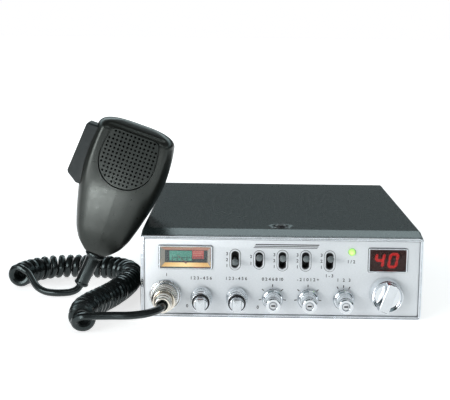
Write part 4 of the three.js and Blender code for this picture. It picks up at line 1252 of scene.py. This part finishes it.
def speaker_jacks(x, z, spacing, back):
    """Two small round jacks, each with a hexagonal nut."""
    parts = [box(x - 18, x + 18, 219, 229, z - 6, z + 6, 0.6)]
    nuts = []
    for side in (-1, 1):
        at = x + side * spacing / 2
        barrel = [(1.8, 224), (3.5, 224), (3.5, back + 1.6), (3.1, back + 2), (2.1, back + 2), (1.8, back + 1.6)]
        parts.append(shifted(turned(barrel, 40, closed=True, radius=0.15), x=at, z=z))
        hexagon = [(5.4 * math.cos(math.pi * i / 3), 5.4 * math.sin(math.pi * i / 3)) for i in range(6)]
        softer = [(0.93 * a, 0.93 * b) for a, b in hexagon]
        nut = prism(hexagon, back + 0.05, back + 1.2, 0.3, softer)
        nuts.append(shifted(carved(nut, drum(3.6, back - 1, back + 3, 40, 0.01)), x=at, z=z))
    piece("jack_block", joined(parts), "black_plastic", "speaker_jacks")
    piece("jack_nuts", joined(nuts), "plated_steel", slot="chrome")


# ---------------------------------------------------------------- everything
for build in (top_cover, bottom_cover, case_screws, bracket_inserts, fascia_trim, fascia_panel,
              switches, meter, display, lamp, legend, knobs,
              channel_knob, connector, microphone, rear_sockets):
    build()

slots = {part["node"]: part["material_slot"] for part in frame["record"]["subparts"]}
for name, cad_object in frame["nodes"].items():
    look = LOOKS.get(slots[name], LOOKS["black_plastic"])
    for holder in cad_object.material_slots:
        holder.material = look


# ---------------------------------------------------------------- studio
# the floor's glow grows to 1 between two distances from a centre, in metres
FLOOR_GLOW = {"centre": (0, -1.0, 0), "near": 0.72, "between": (1.1, 1.9)}


def floor():
    """A pale sheet that turns white with distance; it lies a little below the cord."""
    mesh = bpy.data.meshes.new("floor")
    reach = 12
    corners = [(-reach, -reach, 0), (reach, -reach, 0), (reach, reach, 0), (-reach, reach, 0)]
    mesh.from_pydata(corners, [], [(0, 1, 2, 3)])
    pale = shader("floor", (0.8, 0.8, 0.8), 0.9)
    mottle(pale, (0.79, 0.79, 0.79), (0.81, 0.81, 0.81), 2)
    glow(pale, (1, 1, 1), 1)
    away = distance_from(pale, FLOOR_GLOW["centre"])
    strength = ramp(pale, away, FLOOR_GLOW["near"], 1, *FLOOR_GLOW["between"])
    link(pale, strength, principled(pale).inputs["Emission Strength"])
    mesh.materials.append(pale)
    made = put("floor", mesh)
    made.location.z = -0.0002


def area_light(name, place, target, size, power):
    data = bpy.data.lights.new(name, "AREA")
    data.shape = "RECTANGLE"
    data.size, data.size_y = size
    data.energy = power
    made = put(name, data)
    made.location = place
    made.rotation_euler = (Vector(target) - Vector(place)).to_track_quat("-Z", "Y").to_euler()
    return made


PLAIN = (1, 1, 1.02)
BLUE = (0.8, 1, 1.04)
# sine of the elevation, brightness, tint
SKY = [(0, 1.0, PLAIN), (0.035, 1.0, PLAIN), (0.055, 0.04, PLAIN), (0.35, 0.04, PLAIN),
       (0.42, 1.8, BLUE), (0.62, 1.8, BLUE), (0.72, 0.25, PLAIN), (1, 0.25, PLAIN)]
FRONT_SHADE = 0.25
# place, target, size in metres, power in watts
LIGHTS = {
    "key": ((-1.8, -2.1, 0.7), (-0.06, 0, 0.07), (1.6, 1.1), 46),
    "strip": ((1.0, -1.4, 1.8), (0, 0, 0.03), (1.6, 0.24), 5),
    "rim": ((0, 2.6, 1.9), (0, 0, 0.06), (3.2, 0.6), 5),
    "bounce": ((-0.212, -0.345, 0.014), (-0.15, -0.075, 0.07), (0.13, 0.03), 0.014),
}
BOUNCE_SPREAD = 34


def sky():
    """The studio round the floor: pale horizon, dark band, lit ceiling edge, and dimmer behind the camera."""
    world = bpy.data.worlds.new("world")
    world.use_nodes = True
    place = node(world, "ShaderNodeTexCoord")
    split = node(world, "ShaderNodeSeparateXYZ")
    bands = node(world, "ShaderNodeValToRGB")
    link(world, place.outputs["Generated"], split.inputs["Vector"])
    link(world, split.outputs["Z"], bands.inputs["Fac"])
    link(world, bands.outputs["Color"], world.node_tree.nodes["Background"].inputs["Color"])
    shade = ramp(world, split.outputs["Y"], FRONT_SHADE, 1, 0.15, 0.7)
    link(world, shade, world.node_tree.nodes["Background"].inputs["Strength"])
    for stop in SKY[2:]:
        bands.color_ramp.elements.new(stop[0])
    for element, (position, value, tint) in zip(bands.color_ramp.elements, SKY):
        element.position = position
        element.color = (*(value * share for share in tint), 1)
    bpy.context.scene.world = world


def studio():
    floor()
    sky()
    lights = {name: area_light(name, *row) for name, row in LIGHTS.items()}
    lights["bounce"].data.spread = math.radians(BOUNCE_SPREAD)
    lights["bounce"].visible_camera = False
    bpy.context.scene.view_settings.view_transform = "Standard"


studio()
